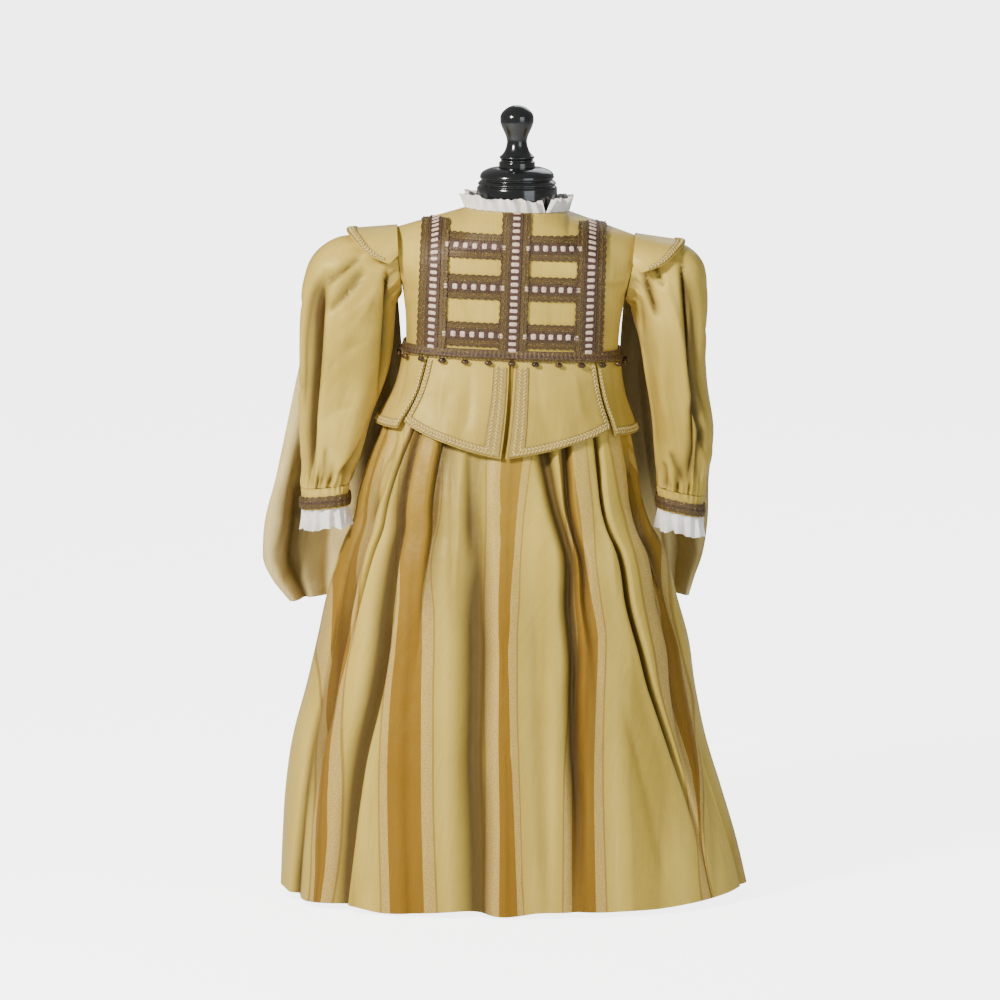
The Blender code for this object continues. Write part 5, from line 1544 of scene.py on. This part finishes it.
def ruffle_recipe():
    """Waves of a flat strip: "up" is 0 at its seam and 1 at its free edge, "along" runs from end to end."""
    names = ("Waves", "Second Waves", "Depth", "Seam", "Spread")
    tree = Recipe("ruffle", dict.fromkeys(names, "Float"))
    given = tree.inputs
    up, along = tree.attribute("up"), tree.math("MULTIPLY", tree.attribute("along"), 2 * math.pi)
    first = tree.math("SINE", tree.math("MULTIPLY", along, given["Waves"]))
    second = tree.math("SINE", tree.math("MULTIPLY", along, given["Second Waves"]))
    waves = tree.math("ADD", first, tree.math("MULTIPLY", second, tree.math("MULTIPLY", up, 0.7)))
    share = tree.add("ShaderNodeMapRange", {"Value": up, "To Min": given["Seam"], "To Max": 1.0})
    reach = tree.math("MULTIPLY", waves, tree.math("MULTIPLY", share, given["Depth"]))
    reach = tree.math("ADD", reach, tree.math("MULTIPLY", up, given["Spread"]))
    away = tree.attribute("away", "FLOAT_VECTOR")
    offset = tree.add("ShaderNodeVectorMath", {0: away, "Scale": reach}, operation="SCALE")
    tree.gives(tree.add("GeometryNodeSetPosition", {"Geometry": given["Geometry"], "Offset": offset}))
    return tree


REPEAT, RUFFLE = repeat_recipe(), ruffle_recipe()
print("trees", REPEAT.tree.name, RUFFLE.tree.name)


def rows_of(name, paths, shape, size, pitch, finish, tilt=0.0, vary=0.06, closed=False, seed=1):
    """Small things along paths, given as pairs of points and facings in millimetres."""
    mesh = bpy.data.meshes.new(name)
    edges, first = [], 0
    for path, _ in paths:
        edges += [(i, i + 1) for i in range(first, first + len(path) - 1)]
        if closed:
            edges.append((first + len(path) - 1, first))
        first += len(path)
    points = (np.concatenate([path for path, _ in paths]) + SHIFT) * MM
    mesh.from_pydata(points.tolist(), edges, [])
    layer = mesh.attributes.new("facing", "FLOAT_VECTOR", "POINT")
    layer.data.foreach_set("vector", np.concatenate([facings for _, facings in paths]).ravel())
    piece = add_object(name, mesh)
    REPEAT.run(
        piece, Pitch=pitch * MM, Size=[value * MM for value in size], Shape=shape, Tilt=math.radians(tilt),
        Vary=vary, Seed=seed, Finish=FINISHES[finish],
    )
    print(name, len(piece.data.polygons), "faces")
    fixed(piece, finish)


# %% [markdown]
# The bodice braids are flat strips laid on its surface: three upright ones and three short bars on each
# side, which tuck under the upright ones. Their edges are scalloped, a ribbon runs through the ladder of
# each, and a fine cord follows the ladder and the edges.

# %% Braids and bars on the bodice
UPRIGHTS = {"braid_left": -101.0, "braid_centre": 0.0, "braid_right": 95.0}
BARS = {"row_1": 836.0, "row_2": 785.0, "row_3": 725.0}  # the height of each bar's middle
BRAID_HALF, BAR_HALF = 18.0, 15.5
BRAID_FOOT = 706.5
BRAID_TOP_GAP = 2.0
TUCKED = 3.0  # how far a bar reaches under an upright braid
BRAID_LIFT, BAR_LIFT = (1.35, 2.5), (0.25, 1.25)
SCALLOP_DEPTH, SCALLOP_PITCH = 1.2, 8.3
STRIP_COLUMNS, STRIP_STEP = 19, 1.1
CORE_RISE, CORE_EDGE = 0.45, (0.36, 0.5)  # the ladder stands higher than the mesh beside it
RIB_RISE, RIB_PITCH = 0.25, 4.1
BRAID_CORD, CORD_PITCH, CORD_TILT = (2.6, 1.5, 1.3), 2.3, 28
RIBBON_RISE, CORD_RISE = 0.7, 0.3  # above the face of the braid
CORDS = (("ladder", 0.4, 0.0, "dark_cord"), ("mesh", 0.68, 1.4, "olive_cord"),
         ("edge", 0.95, 1.6, "dark_cord"))
RIBBONS = {"upright": ((5.0, 10.0, 1.5), 8.3), "bar": ((6.6, 7.4, 1.4), 10.8)}  # size of a square, and pitch


def bodice_face(x, height, lift=0.0):
    """Points over the front of the bodice, lifted off it, and the normals there."""

    def place(x, height):
        return np.stack([x, -torso_depth(np.abs(x), height, "front"), height], axis=-1)

    step = 0.5
    across = place(x + step, height) - place(x - step, height)
    normals = np.cross(across, place(x, height + step) - place(x, height))
    normals *= np.sign(-normals[..., 1:2])
    normals /= np.linalg.norm(normals, axis=-1, keepdims=True)
    return leaning(place(x, height) + normals * lift), normals


def strip(name, place, length, half, lift, finish):
    """A braid: place gives x and height from the distance along it and across it."""
    row_count = int(length / STRIP_STEP)
    along, share = np.meshgrid(np.linspace(0, length, row_count), np.linspace(-1, 1, STRIP_COLUMNS),
                               indexing="ij")
    scallop = SCALLOP_DEPTH * np.abs(np.sin(math.pi * along / SCALLOP_PITCH))
    across = share * (half - SCALLOP_DEPTH + scallop * np.abs(share))
    x, height = place(along, across)
    core = CORE_RISE * (1 - ease(*CORE_EDGE, np.abs(share)))
    raised = core + RIB_RISE * np.sin(2 * math.pi * along / RIB_PITCH) * np.abs(share)
    outer, normals = bodice_face(x, height, (lift[1] + raised)[..., None])
    inner = bodice_face(x, height, lift[0])[0]
    flat = np.stack([along * MM, across * MM], axis=-1)
    return shell(f"{name}_lace", outer, inner, finish, flat=flat)


def line_on(place, length, across, lift, wavy=0.0):
    """A path along a strip, at a distance from its middle, that follows the scallops where it is wavy."""
    along = np.linspace(0, length, max(int(length), 4))
    scallop = wavy * (np.abs(np.sin(math.pi * along / SCALLOP_PITCH)) - 0.6)
    x, height = place(along, across + math.copysign(1.0, across) * scallop)
    return bodice_face(x, height, lift)


def on_upright(x, along, across):
    """Where a point of an upright braid lies, from its distances along and across the braid."""
    return x + across, BRAID_FOOT + along


def on_bar(side, middle, along, across):
    return SIGN[side] * (BRAID_HALF - TUCKED + along), middle + across


STRIP_FIELDS = ("name", "kind", "place", "length", "half", "lift", "finish")
strips = []
for name, x in UPRIGHTS.items():
    length = shoulder_line(abs(x)) - BRAID_TOP_GAP - BRAID_FOOT
    strips.append((name, "upright", partial(on_upright, x), length, BRAID_HALF, BRAID_LIFT, "braid_lace"))
for side in SIGN:
    length = abs(UPRIGHTS[f"braid_{side}"]) - 2 * (BRAID_HALF - TUCKED)
    for row, middle in BARS.items():
        place = partial(on_bar, side, middle)
        strips.append((f"bar_{row}_{side}", "bar", place, length, BAR_HALF, BAR_LIFT, "bar_lace"))
strips = records(STRIP_FIELDS, strips)
for braid in strips:
    fixed(strip(**{key: braid[key] for key in STRIP_FIELDS if key != "kind"}), braid["finish"], braid["name"])
for kind, (size, pitch) in RIBBONS.items():
    chosen = [braid for braid in strips if braid["kind"] == kind]
    paths = [line_on(braid["place"], braid["length"], 0, braid["lift"][1] + RIBBON_RISE) for braid in chosen]
    rows_of(f"ribbon_{kind}", paths, PILLOW, size, pitch, "ribbon")
    for name, share, wavy, cord in CORDS:
        paths = [
            line_on(braid["place"], braid["length"], turn * share * braid["half"],
                    braid["lift"][1] + CORD_RISE, wavy)
            for braid in chosen for turn in (-1, 1)
        ]
        rows_of(f"{name}_cord_{kind}", paths, GRAIN, BRAID_CORD, CORD_PITCH, cord, tilt=CORD_TILT)

# %% [markdown]
# The waist braid is a narrow band that runs right round. Oval beads hang below it, with small loops between
# them.

# %% Waist braid, beads and loops
WAIST_PROFILE_COLUMNS = ("up", "gap")
WAIST_PROFILE = ((6.4, 1.8), (4.2, 2.4), (1.6, 3.4), (-1.0, 4.2), (-3.6, 5.0))
WAIST_BAND = (12, 520)
WAIST_BEAD = ((11.5, 7.4, 6.4), 30.0, -9.6, 9.4)  # size, pitch, height below the waist, and gap
WAIST_LOOP = ((5.0, 4.0, 3.2), 5.0, -4.9, 6.4)
WAIST_CORDS = {"waist_cord_upper": (6.0, 3.3), "waist_cord_lower": (-3.4, 6.6)}
WAIST_CORD, WAIST_CORD_TILT = ((2.8, 1.6, 1.5), 2.4), 30  # size, pitch, and tilt
WAIST_WALL, WAIST_BUMP, WAIST_BUMPS = 1.5, 0.4, 130
WAIST_STEPS = 360


def waist_ring(up, gap, count):
    """A ring round the waist at even steps, and the directions away from it."""
    waist = named(SKIRT_COLUMNS, SKIRT[-1])
    fine = np.linspace(0, 360, 1441)
    sizes = [waist["left"] - gap, waist["right"] + gap, waist["front"] + gap, waist["back"] + gap]
    x, y = oval(fine, *sizes, waist["squareness"])
    run = np.concatenate([[0], np.cumsum(np.hypot(np.diff(x), np.diff(y)))])
    at = np.arange(count) / count * run[-1]
    x, y = np.interp(at, run, x), np.interp(at, run, y)
    points = np.stack([x, y, WAIST + up - LEAN * (x - WAIST_SHIFT)], axis=-1)
    step = np.roll(points, -1, 0) - np.roll(points, 1, 0)
    away = np.stack([step[:, 1], -step[:, 0], 0 * x], axis=-1)
    away *= np.sign(np.sum(away * (points - points.mean(axis=0)), axis=1, keepdims=True))
    return points, unit(away)


profile = columns_of(WAIST_PROFILE_COLUMNS, sorted(WAIST_PROFILE))
row_count, column_count = WAIST_BAND
bumps = WAIST_WALL + WAIST_BUMP * np.sin(2 * math.pi * np.arange(column_count) / column_count * WAIST_BUMPS)
outer, inner, flat = [], [], []
for up in np.linspace(profile["up"][0], profile["up"][-1], row_count):
    points, away = waist_ring(up, float(smooth(profile["up"], profile["gap"], up)), column_count)
    outer.append(points + away * bumps[:, None])
    inner.append(points)
    run = np.linspace(0, np.linalg.norm(np.diff(points, axis=0), axis=1).sum(), column_count + 1)
    flat.append(np.stack([run * MM, np.full(column_count + 1, up * MM)], axis=-1))
piece = shell("waist_braid_lace", np.array(outer), np.array(inner), "waist_lace", wrap=True,
              flat=np.array(flat))
fixed(piece, "waist_lace", "waist_braid")
for name, (size, pitch, up, gap), shape, finish in (
    ("waist_beads", WAIST_BEAD, GRAIN, "bead"), ("waist_loops", WAIST_LOOP, LOOP, "dark_cord"),
):
    rows_of(name, [waist_ring(up, gap, WAIST_STEPS)], shape, size, pitch, finish, closed=True, vary=0.1)
for name, (up, gap) in WAIST_CORDS.items():
    ring = [waist_ring(up, gap, WAIST_STEPS)]
    rows_of(name, ring, GRAIN, *WAIST_CORD, "dark_cord", closed=True, tilt=WAIST_CORD_TILT)

# %% [markdown]
# The edging of the peplum and the shoulder wings is a pale cord braid with a herringbone of slanting
# stitches between two dark lines. It keeps inside each panel's edge, wider at the sides than along the
# hem.

# %% Shoulder wings and the herringbone edging
WING_REACH, WING_HALF_DEPTH = 64.0, 61.0
WING_TOP, WING_DROOP, WING_FOOT = 852.1, 8.0, 815.0
WING_WALL = 1.6
WING_FRONT_DROOP, WING_FRONT = 9.0, (15, 75)  # its front hangs lower, between these angles
WING_BOW, WING_ARCH = 0.55, 0.75  # how soon its reach and its height fall away from the shoulder's top
WING_ROOT = {"inset": 2.0, "tuck": 3.0, "depth": 13.0}
WING_GRID = (26, 96)
WING_ENDS, EDGING_ENDS = 88.0, 82.0  # degrees round the armhole
EDGING_WIDTH = {"front": (13.0, 9.5), "side": (3.5, 9.5), "back": (11.0, 9.5), "wing": 11.0}
TRIM_START = 15.5  # the edging starts this far below the waist, under the beads
EDGING_LIFT = (0.3, 1.2)
STITCH = (6.6, 2.1, 1.5)
STITCH_PITCH = 4.6
EDGING_STITCHES = ((0.3, 38), (0.7, -38))  # share of the edging's width, and tilt
EDGING_LINES = (0.03, 0.97)  # share of the edging's width
EDGING_LINE, EDGING_LINE_PITCH = (3.4, 0.9, 0.9), 2.9
WING_WAVE = (0.7, 7, 40)  # depth, how many in a full turn, and where they start, in degrees


def wing_point(side, around, out):
    """A point of the shoulder wing: around from front to back, out from the armhole to the free edge."""
    turn = np.radians(around)
    top = np.clip(np.cos(turn), 0, 1)
    x = SHOULDER_POINT - WING_ROOT["inset"] - WING_ROOT["tuck"] * (1 - top) + WING_REACH * top**WING_BOW * out
    y = np.sin(turn) * (WING_HALF_DEPTH - WING_ROOT["depth"] * (1 - out))
    height = WING_FOOT + (WING_TOP - WING_FOOT - WING_DROOP * out) * top**WING_ARCH
    depth, count, start = WING_WAVE
    waves = depth * np.sin(np.radians(around * count + start))
    height = height + waves * out - WING_FRONT_DROOP * ease(*WING_FRONT, -around) * out
    return leaning(np.stack([SIGN[side] * x, y, height], axis=-1))


def wing_face(side, around, out, lift=0.0):
    points = wing_point(side, around, out)
    step = np.where(out > 0.5, -0.02, 0.02)
    beside, beyond = wing_point(side, around + 0.5, out), wing_point(side, around, out + step)
    normals = np.cross(beside - points, beyond - points)
    normals *= np.sign(normals[..., 2:])
    normals /= np.maximum(np.linalg.norm(normals, axis=-1, keepdims=True), 1e-9)
    return points + normals * lift, normals


def peplum_edge(panel, side, share, lift):
    """A path down one side of a panel, along its hem and up the other side."""
    top = TRIM_START / panel["near_drop"]
    steps = np.linspace(0, 1, 60)
    across = np.concatenate([0 * steps, steps[1:-1], 1 + 0 * steps])
    down = np.concatenate([top + (1 - top) * steps, 1 + 0 * steps[1:-1], 1 - (1 - top) * steps])
    wide, deep = EDGING_WIDTH[panel["name"]]
    hem = peplum_point(panel, side, steps, np.ones(60))
    width = np.linalg.norm(np.diff(hem, axis=0), axis=1).sum()
    drop = between(panel["near_drop"], panel["far_drop"], across)
    inset = 0.008 + share * wide / width
    across = np.clip(across, inset, 1 - inset)
    down = np.minimum(down, 1 - (0.01 + share * deep / drop))
    points, normals = peplum_face(panel, side, across, down)
    return points + normals * lift, normals


def wing_edge(side, share, lift):
    around = np.linspace(-EDGING_ENDS, EDGING_ENDS, 90)
    out = 1 - 0.02 - share * EDGING_WIDTH["wing"] / WING_REACH
    return wing_face(side, around, np.full(90, out), lift)


def add_edging(name, path, solid):
    """The flat braid below the stitches; path gives its line at a share of its width and a lift."""
    shares = np.linspace(0, 1, 6)
    low, high = [np.stack([path(share, lift)[0] for share in shares], axis=1) for lift in EDGING_LIFT]
    fixed(shell(name, high, low, "edging_ground"), "edging_ground", solid)


edges = {}
rows, columns = WING_GRID
around, out = np.meshgrid(np.linspace(-WING_ENDS, WING_ENDS, columns), np.linspace(0, 1, rows))
for side in SIGN:
    grid, normals = wing_face(side, around, out)
    add_cloth(f"wing_{side}", grid, normals, "hung", wall=WING_WALL)
    edges[f"wing_trim_{side}"] = partial(wing_edge, side)
    for panel in records(PEPLUM_PANEL_COLUMNS, PEPLUM_PANELS):
        edges[f"peplum_trim_{panel['name']}_{side}"] = partial(peplum_edge, panel, side)
for name, path in edges.items():
    add_edging(f"{name}_braid", path, name)
for number, (share, tilt) in enumerate(EDGING_STITCHES):
    paths = [path(share, EDGING_LIFT[1] + CORD_RISE) for path in edges.values()]
    rows_of(f"edging_stitches_{number + 1}", paths, GRAIN, STITCH, STITCH_PITCH, "edging_cord", tilt=tilt)
paths = [path(share, EDGING_LIFT[1]) for path in edges.values() for share in EDGING_LINES]
rows_of("edging_lines", paths, GRAIN, EDGING_LINE, EDGING_LINE_PITCH, "edging_line")

# %% [markdown]
# Each cuff is a plain band that takes in the sleeve's gathers, a bumpy braid of metal lace over it, and a
# white frill below. Neck and cuff frills are flat strips that the ruffle tree waves.

# %% Cuffs
CUFF_FROM, CUFF_TO = 0.6, 27.6  # below the last ring of the sleeve
CUFF_BRAID_FROM, CUFF_BRAID_TO = 10.0, 26.4
CUFF_SIDES = 168
CUFF_ROWS, CUFF_BRAID_ROWS = 14, 15
CUFF_TUCKS, CUFF_TUCK_DEPTH, CUFF_TUCKS_END = 26, 0.9, 12
CUFF_SINK = 0.3  # the band lies this much below the sleeve's face
CUFF_SCALLOPS, CUFF_SCALLOP_DEPTH, CUFF_BULGE = 22, 1.1, 1.0
CUFF_BRAID_WALL, CUFF_BRAID_RISE = 1.5, 2.0


def cuff_ring(last_row, down, sides, grow=0.0):
    """A ring below the sleeve's last one and parallel to it."""
    row = dict(last_row, gather=0.0)
    for height in ("near_height", "far_height"):
        row[height] -= down
    return sleeve_ring(row, sides, grow)


def away_from_middle(ring):
    away = ring - ring.mean(axis=-2, keepdims=True)
    away[..., 2] = 0
    return unit(away)


def add_cuff(side, last_row):
    """The band of silk, with tucks where it takes in the sleeve."""
    downs = np.linspace(CUFF_FROM, CUFF_TO, CUFF_ROWS)
    grid = np.array([cuff_ring(last_row, down, CUFF_SIDES) for down in downs])
    tucks = CUFF_TUCK_DEPTH * np.sin(2 * math.pi * CUFF_TUCKS * turn)[None, :]
    relief = tucks * (1 - ease(0, CUFF_TUCKS_END, downs))[:, None] - CUFF_SINK
    add_cloth(f"cuff_{side}", grid, tube_normals(grid), "stretched", relief=relief, wrap=True)


def add_cuff_braid(side, last_row):
    """The metal lace over the band, scalloped along both edges and bumpy along its middle."""
    downs = np.linspace(CUFF_BRAID_FROM, CUFF_BRAID_TO, CUFF_BRAID_ROWS)
    middle, half = (CUFF_BRAID_FROM + CUFF_BRAID_TO) / 2, (CUFF_BRAID_TO - CUFF_BRAID_FROM) / 2
    scallops = np.abs(np.sin(math.pi * CUFF_SCALLOPS * turn))
    grid = []
    for down in downs:
        share = (down - middle) / half
        ring = cuff_ring(last_row, down, CUFF_SIDES, CUFF_BRAID_RISE)
        ring[:, 2] += CUFF_SCALLOP_DEPTH * share * scallops
        ring += away_from_middle(ring) * (CUFF_BULGE * scallops * (1 - share**2))[:, None]
        grid.append(ring)
    grid = np.array(grid)
    closed = ringed(grid)
    across = np.broadcast_to(((downs - middle) * MM)[:, None], closed.shape[:2])
    flat = np.stack([lengths(closed, 1) * MM, across], axis=-1)
    inner = grid - away_from_middle(grid) * CUFF_BRAID_WALL
    piece = shell(f"cuff_braid_{side}_lace", grid, inner, "cuff_lace", wrap=True, flat=flat)
    fixed(piece, "cuff_lace", f"cuff_braid_{side}")


turn = np.arange(CUFF_SIDES) / CUFF_SIDES
last_rows = {side: named(SLEEVE_COLUMNS, table[-1]) for side, table in SLEEVES.items()}
for side, last_row in last_rows.items():
    add_cuff(side, last_row)
    add_cuff_braid(side, last_row)

# %% [markdown]
# A frill is a strip of thin cotton, gathered into its seam, so it stands in waves that grow towards its
# free edge. The strip is drawn flat round the neck or the wrist and the ruffle tree waves it. The neck
# frill leaves a small notch where its two ends meet.

# %% Frills at the neck and the cuffs
CUFF_FRILL_HEIGHT, CUFF_FRILL_INSET = 25.0, 2.0
FRILL_WALL = 0.9
NOTCH_ANGLE = 34.0  # where the two ends of the neck frill meet, from the centre front towards +X
NOTCH_OPENS = (0.6, 6.1)  # half the notch in degrees, at the seam and at the free edge
NECK_FRILL_HEIGHT = {"front": 15.5, "back": 18.0}
FRILL_COLUMNS = ("waves", "second_waves", "depth", "seam", "spread")
FRILLS = {"neck": (29, 17, 4.4, 0.45, 1.8), "cuff": (14, 9, 4.2, 0.45, 1.0)}
FRILL_GRID = {"neck": (10, 512), "cuff": (10, 280)}
NECK_FRILL_GAP = 0.8  # between the neck's edge and the frill
# Uneven free edges: height, how many waves round, and where they start, in turns and in radians.
NECK_RAGGED = ((1.4, 7, 0.0), (0.8, 13, 0.3), (0.6, 47, 0.1))
CUFF_RAGGED = ((1.5, 5, 1.0), (0.8, 17, 0.0))


def add_frill(name, kind, grid, wrap):
    """Waves a flat strip by each point's share of the way up from its seam and along from end to end."""
    away = away_from_middle(grid)
    rows, columns = grid.shape[:2]
    up = np.broadcast_to(np.linspace(0, 1, rows)[:, None], (rows, columns))
    along = np.broadcast_to(np.linspace(0, 1, columns, endpoint=not wrap)[None, :], (rows, columns))
    marks = {"up": up, "along": along, "away": away}
    piece = shell(f"{name}_cotton", grid, grid - away * FRILL_WALL, "white_frill", wrap=wrap, marks=marks)
    size = named(FRILL_COLUMNS, FRILLS[kind])
    RUFFLE.run(piece, **{
        "Waves": float(size["waves"]), "Second Waves": float(size["second_waves"]),
        "Depth": size["depth"] * MM, "Seam": size["seam"], "Spread": size["spread"] * MM,
    })
    fixed(piece, "white_frill", name)
    declare(piece, len(grid), wrap=wrap)


row_count, column_count = FRILL_GRID["cuff"]
along, up = np.meshgrid(np.arange(column_count) / column_count, np.linspace(0, 1, row_count))
for side, last_row in last_rows.items():
    downs = CUFF_TO + SEAM + CUFF_FRILL_HEIGHT * up[:, 0]
    grid = np.array([cuff_ring(last_row, down, column_count, -CUFF_FRILL_INSET) for down in downs])
    grid[..., 2] += sum(height * up * np.sin(2 * math.pi * count * along + start)
                        for height, count, start in CUFF_RAGGED)
    add_frill(f"cuff_frill_{side}", "cuff", grid, True)

row_count, column_count = FRILL_GRID["neck"]
grid = []
for up in np.linspace(0, 1, row_count):
    opens = between(*NOTCH_OPENS, up)
    round_neck = np.linspace(opens, 360 - opens, column_count)
    turned_by = np.radians(NOTCH_ANGLE + round_neck)
    front_share = ((1 + np.cos(turned_by)) / 2) ** 2
    ragged = ripple(*((depth, round_neck * count / 360, start) for depth, count, start in NECK_RAGGED))
    height = between(NECK_FRILL_HEIGHT["back"], NECK_FRILL_HEIGHT["front"], front_share) + ragged
    depth = np.where(np.cos(turned_by) > 0, NECK_DEPTH["front"], NECK_DEPTH["back"]) + NECK_FRILL_GAP
    x, y = (NECK_HALF_WIDTH + NECK_FRILL_GAP) * np.sin(turned_by), -np.cos(turned_by) * depth
    grid.append(np.stack([x, y, NECK_HEIGHT + SEAM + height * up], axis=-1))
add_frill("neck_frill", "neck", leaning(np.array(grid)), False)

# %% [markdown]
# The neck of the stand is turned wood. The solids already have its profile, so the same radii are turned
# again here on a finer ring, with the curves between them rounded.

# %% Turned neck block and finial
TURNED_COLUMNS = ("radius", "height")
NECK_AXIS = 2.4
NECK_BLOCK = (
    (51, 876.9), (51, 896), (50.5, 905), (48.3, 907.5), (49.6, 910), (47.6, 912.5), (45.2, 915),
    (47, 917.5), (46.4, 921), (43.8, 924.5), (37.5, 928), (28, 930), (0.1, 930.2),
)
FINIAL = (
    (22.9, 930.4), (22.9, 936), (20.3, 939), (22.2, 943), (19.4, 946), (16.2, 950), (13.6, 957), (12.7, 963),
    (14, 969.5), (16.8, 976), (19.4, 982), (21.2, 988.5), (21, 995), (18.2, 1000.5), (11.5, 1006),
    (5, 1008.4), (0.1, 1009),
)
TURNED_SIDES, TURNED_STEPS = 64, 5
TURNED_SHARP = math.radians(50)


def add_turned(name, profile):
    """A turned solid from its profile, closed by a flat disc at either end."""
    table = columns_of(TURNED_COLUMNS, profile)
    knots = np.arange(len(profile))
    at = np.linspace(0, len(profile) - 1, (len(profile) - 1) * TURNED_STEPS + 1)
    radii, heights = smooth(knots, table["radius"], at), smooth(knots, table["height"], at)
    turns = np.arange(TURNED_SIDES) * 2 * math.pi / TURNED_SIDES
    x, y = NECK_AXIS + radii[:, None] * np.cos(turns), radii[:, None] * np.sin(turns)
    rings = np.stack([x, y, np.broadcast_to(heights[:, None], x.shape)], axis=-1)
    points = (rings.reshape(-1, 3) + SHIFT) * MM
    quads, row, _ = shell_quads(len(radii), TURNED_SIDES, True)
    faces = [tuple(range(TURNED_SIDES))[::-1], *quads[:len(row)].tolist()]
    faces.append(tuple(range(len(points) - TURNED_SIDES, len(points))))
    mesh = bpy.data.meshes.new(f"{name}_turned")
    mesh.from_pydata(points.tolist(), [], faces)
    mesh.materials.append(FINISHES["black_lacquer"])
    mesh.shade_smooth()
    mesh.set_sharp_from_angle(angle=TURNED_SHARP)
    fixed(add_object(f"{name}_turned", mesh), "black_lacquer", name)
    print(name, "faces", len(faces), "height in millimetres", round(float(np.ptp(heights)), 1))


add_turned("neck_block", NECK_BLOCK)
add_turned("neck_finial", FINIAL)

# %% Sizes and the end
parts = [item for item in bpy.context.scene.objects if item.type == "MESH" and item is not floor]
triangles = {item.name: sum(len(face.vertices) - 2 for face in item.data.polygons) for item in parts}
print("triangles", sum(triangles.values()), "largest", max(triangles, key=triangles.get),
      max(triangles.values()))
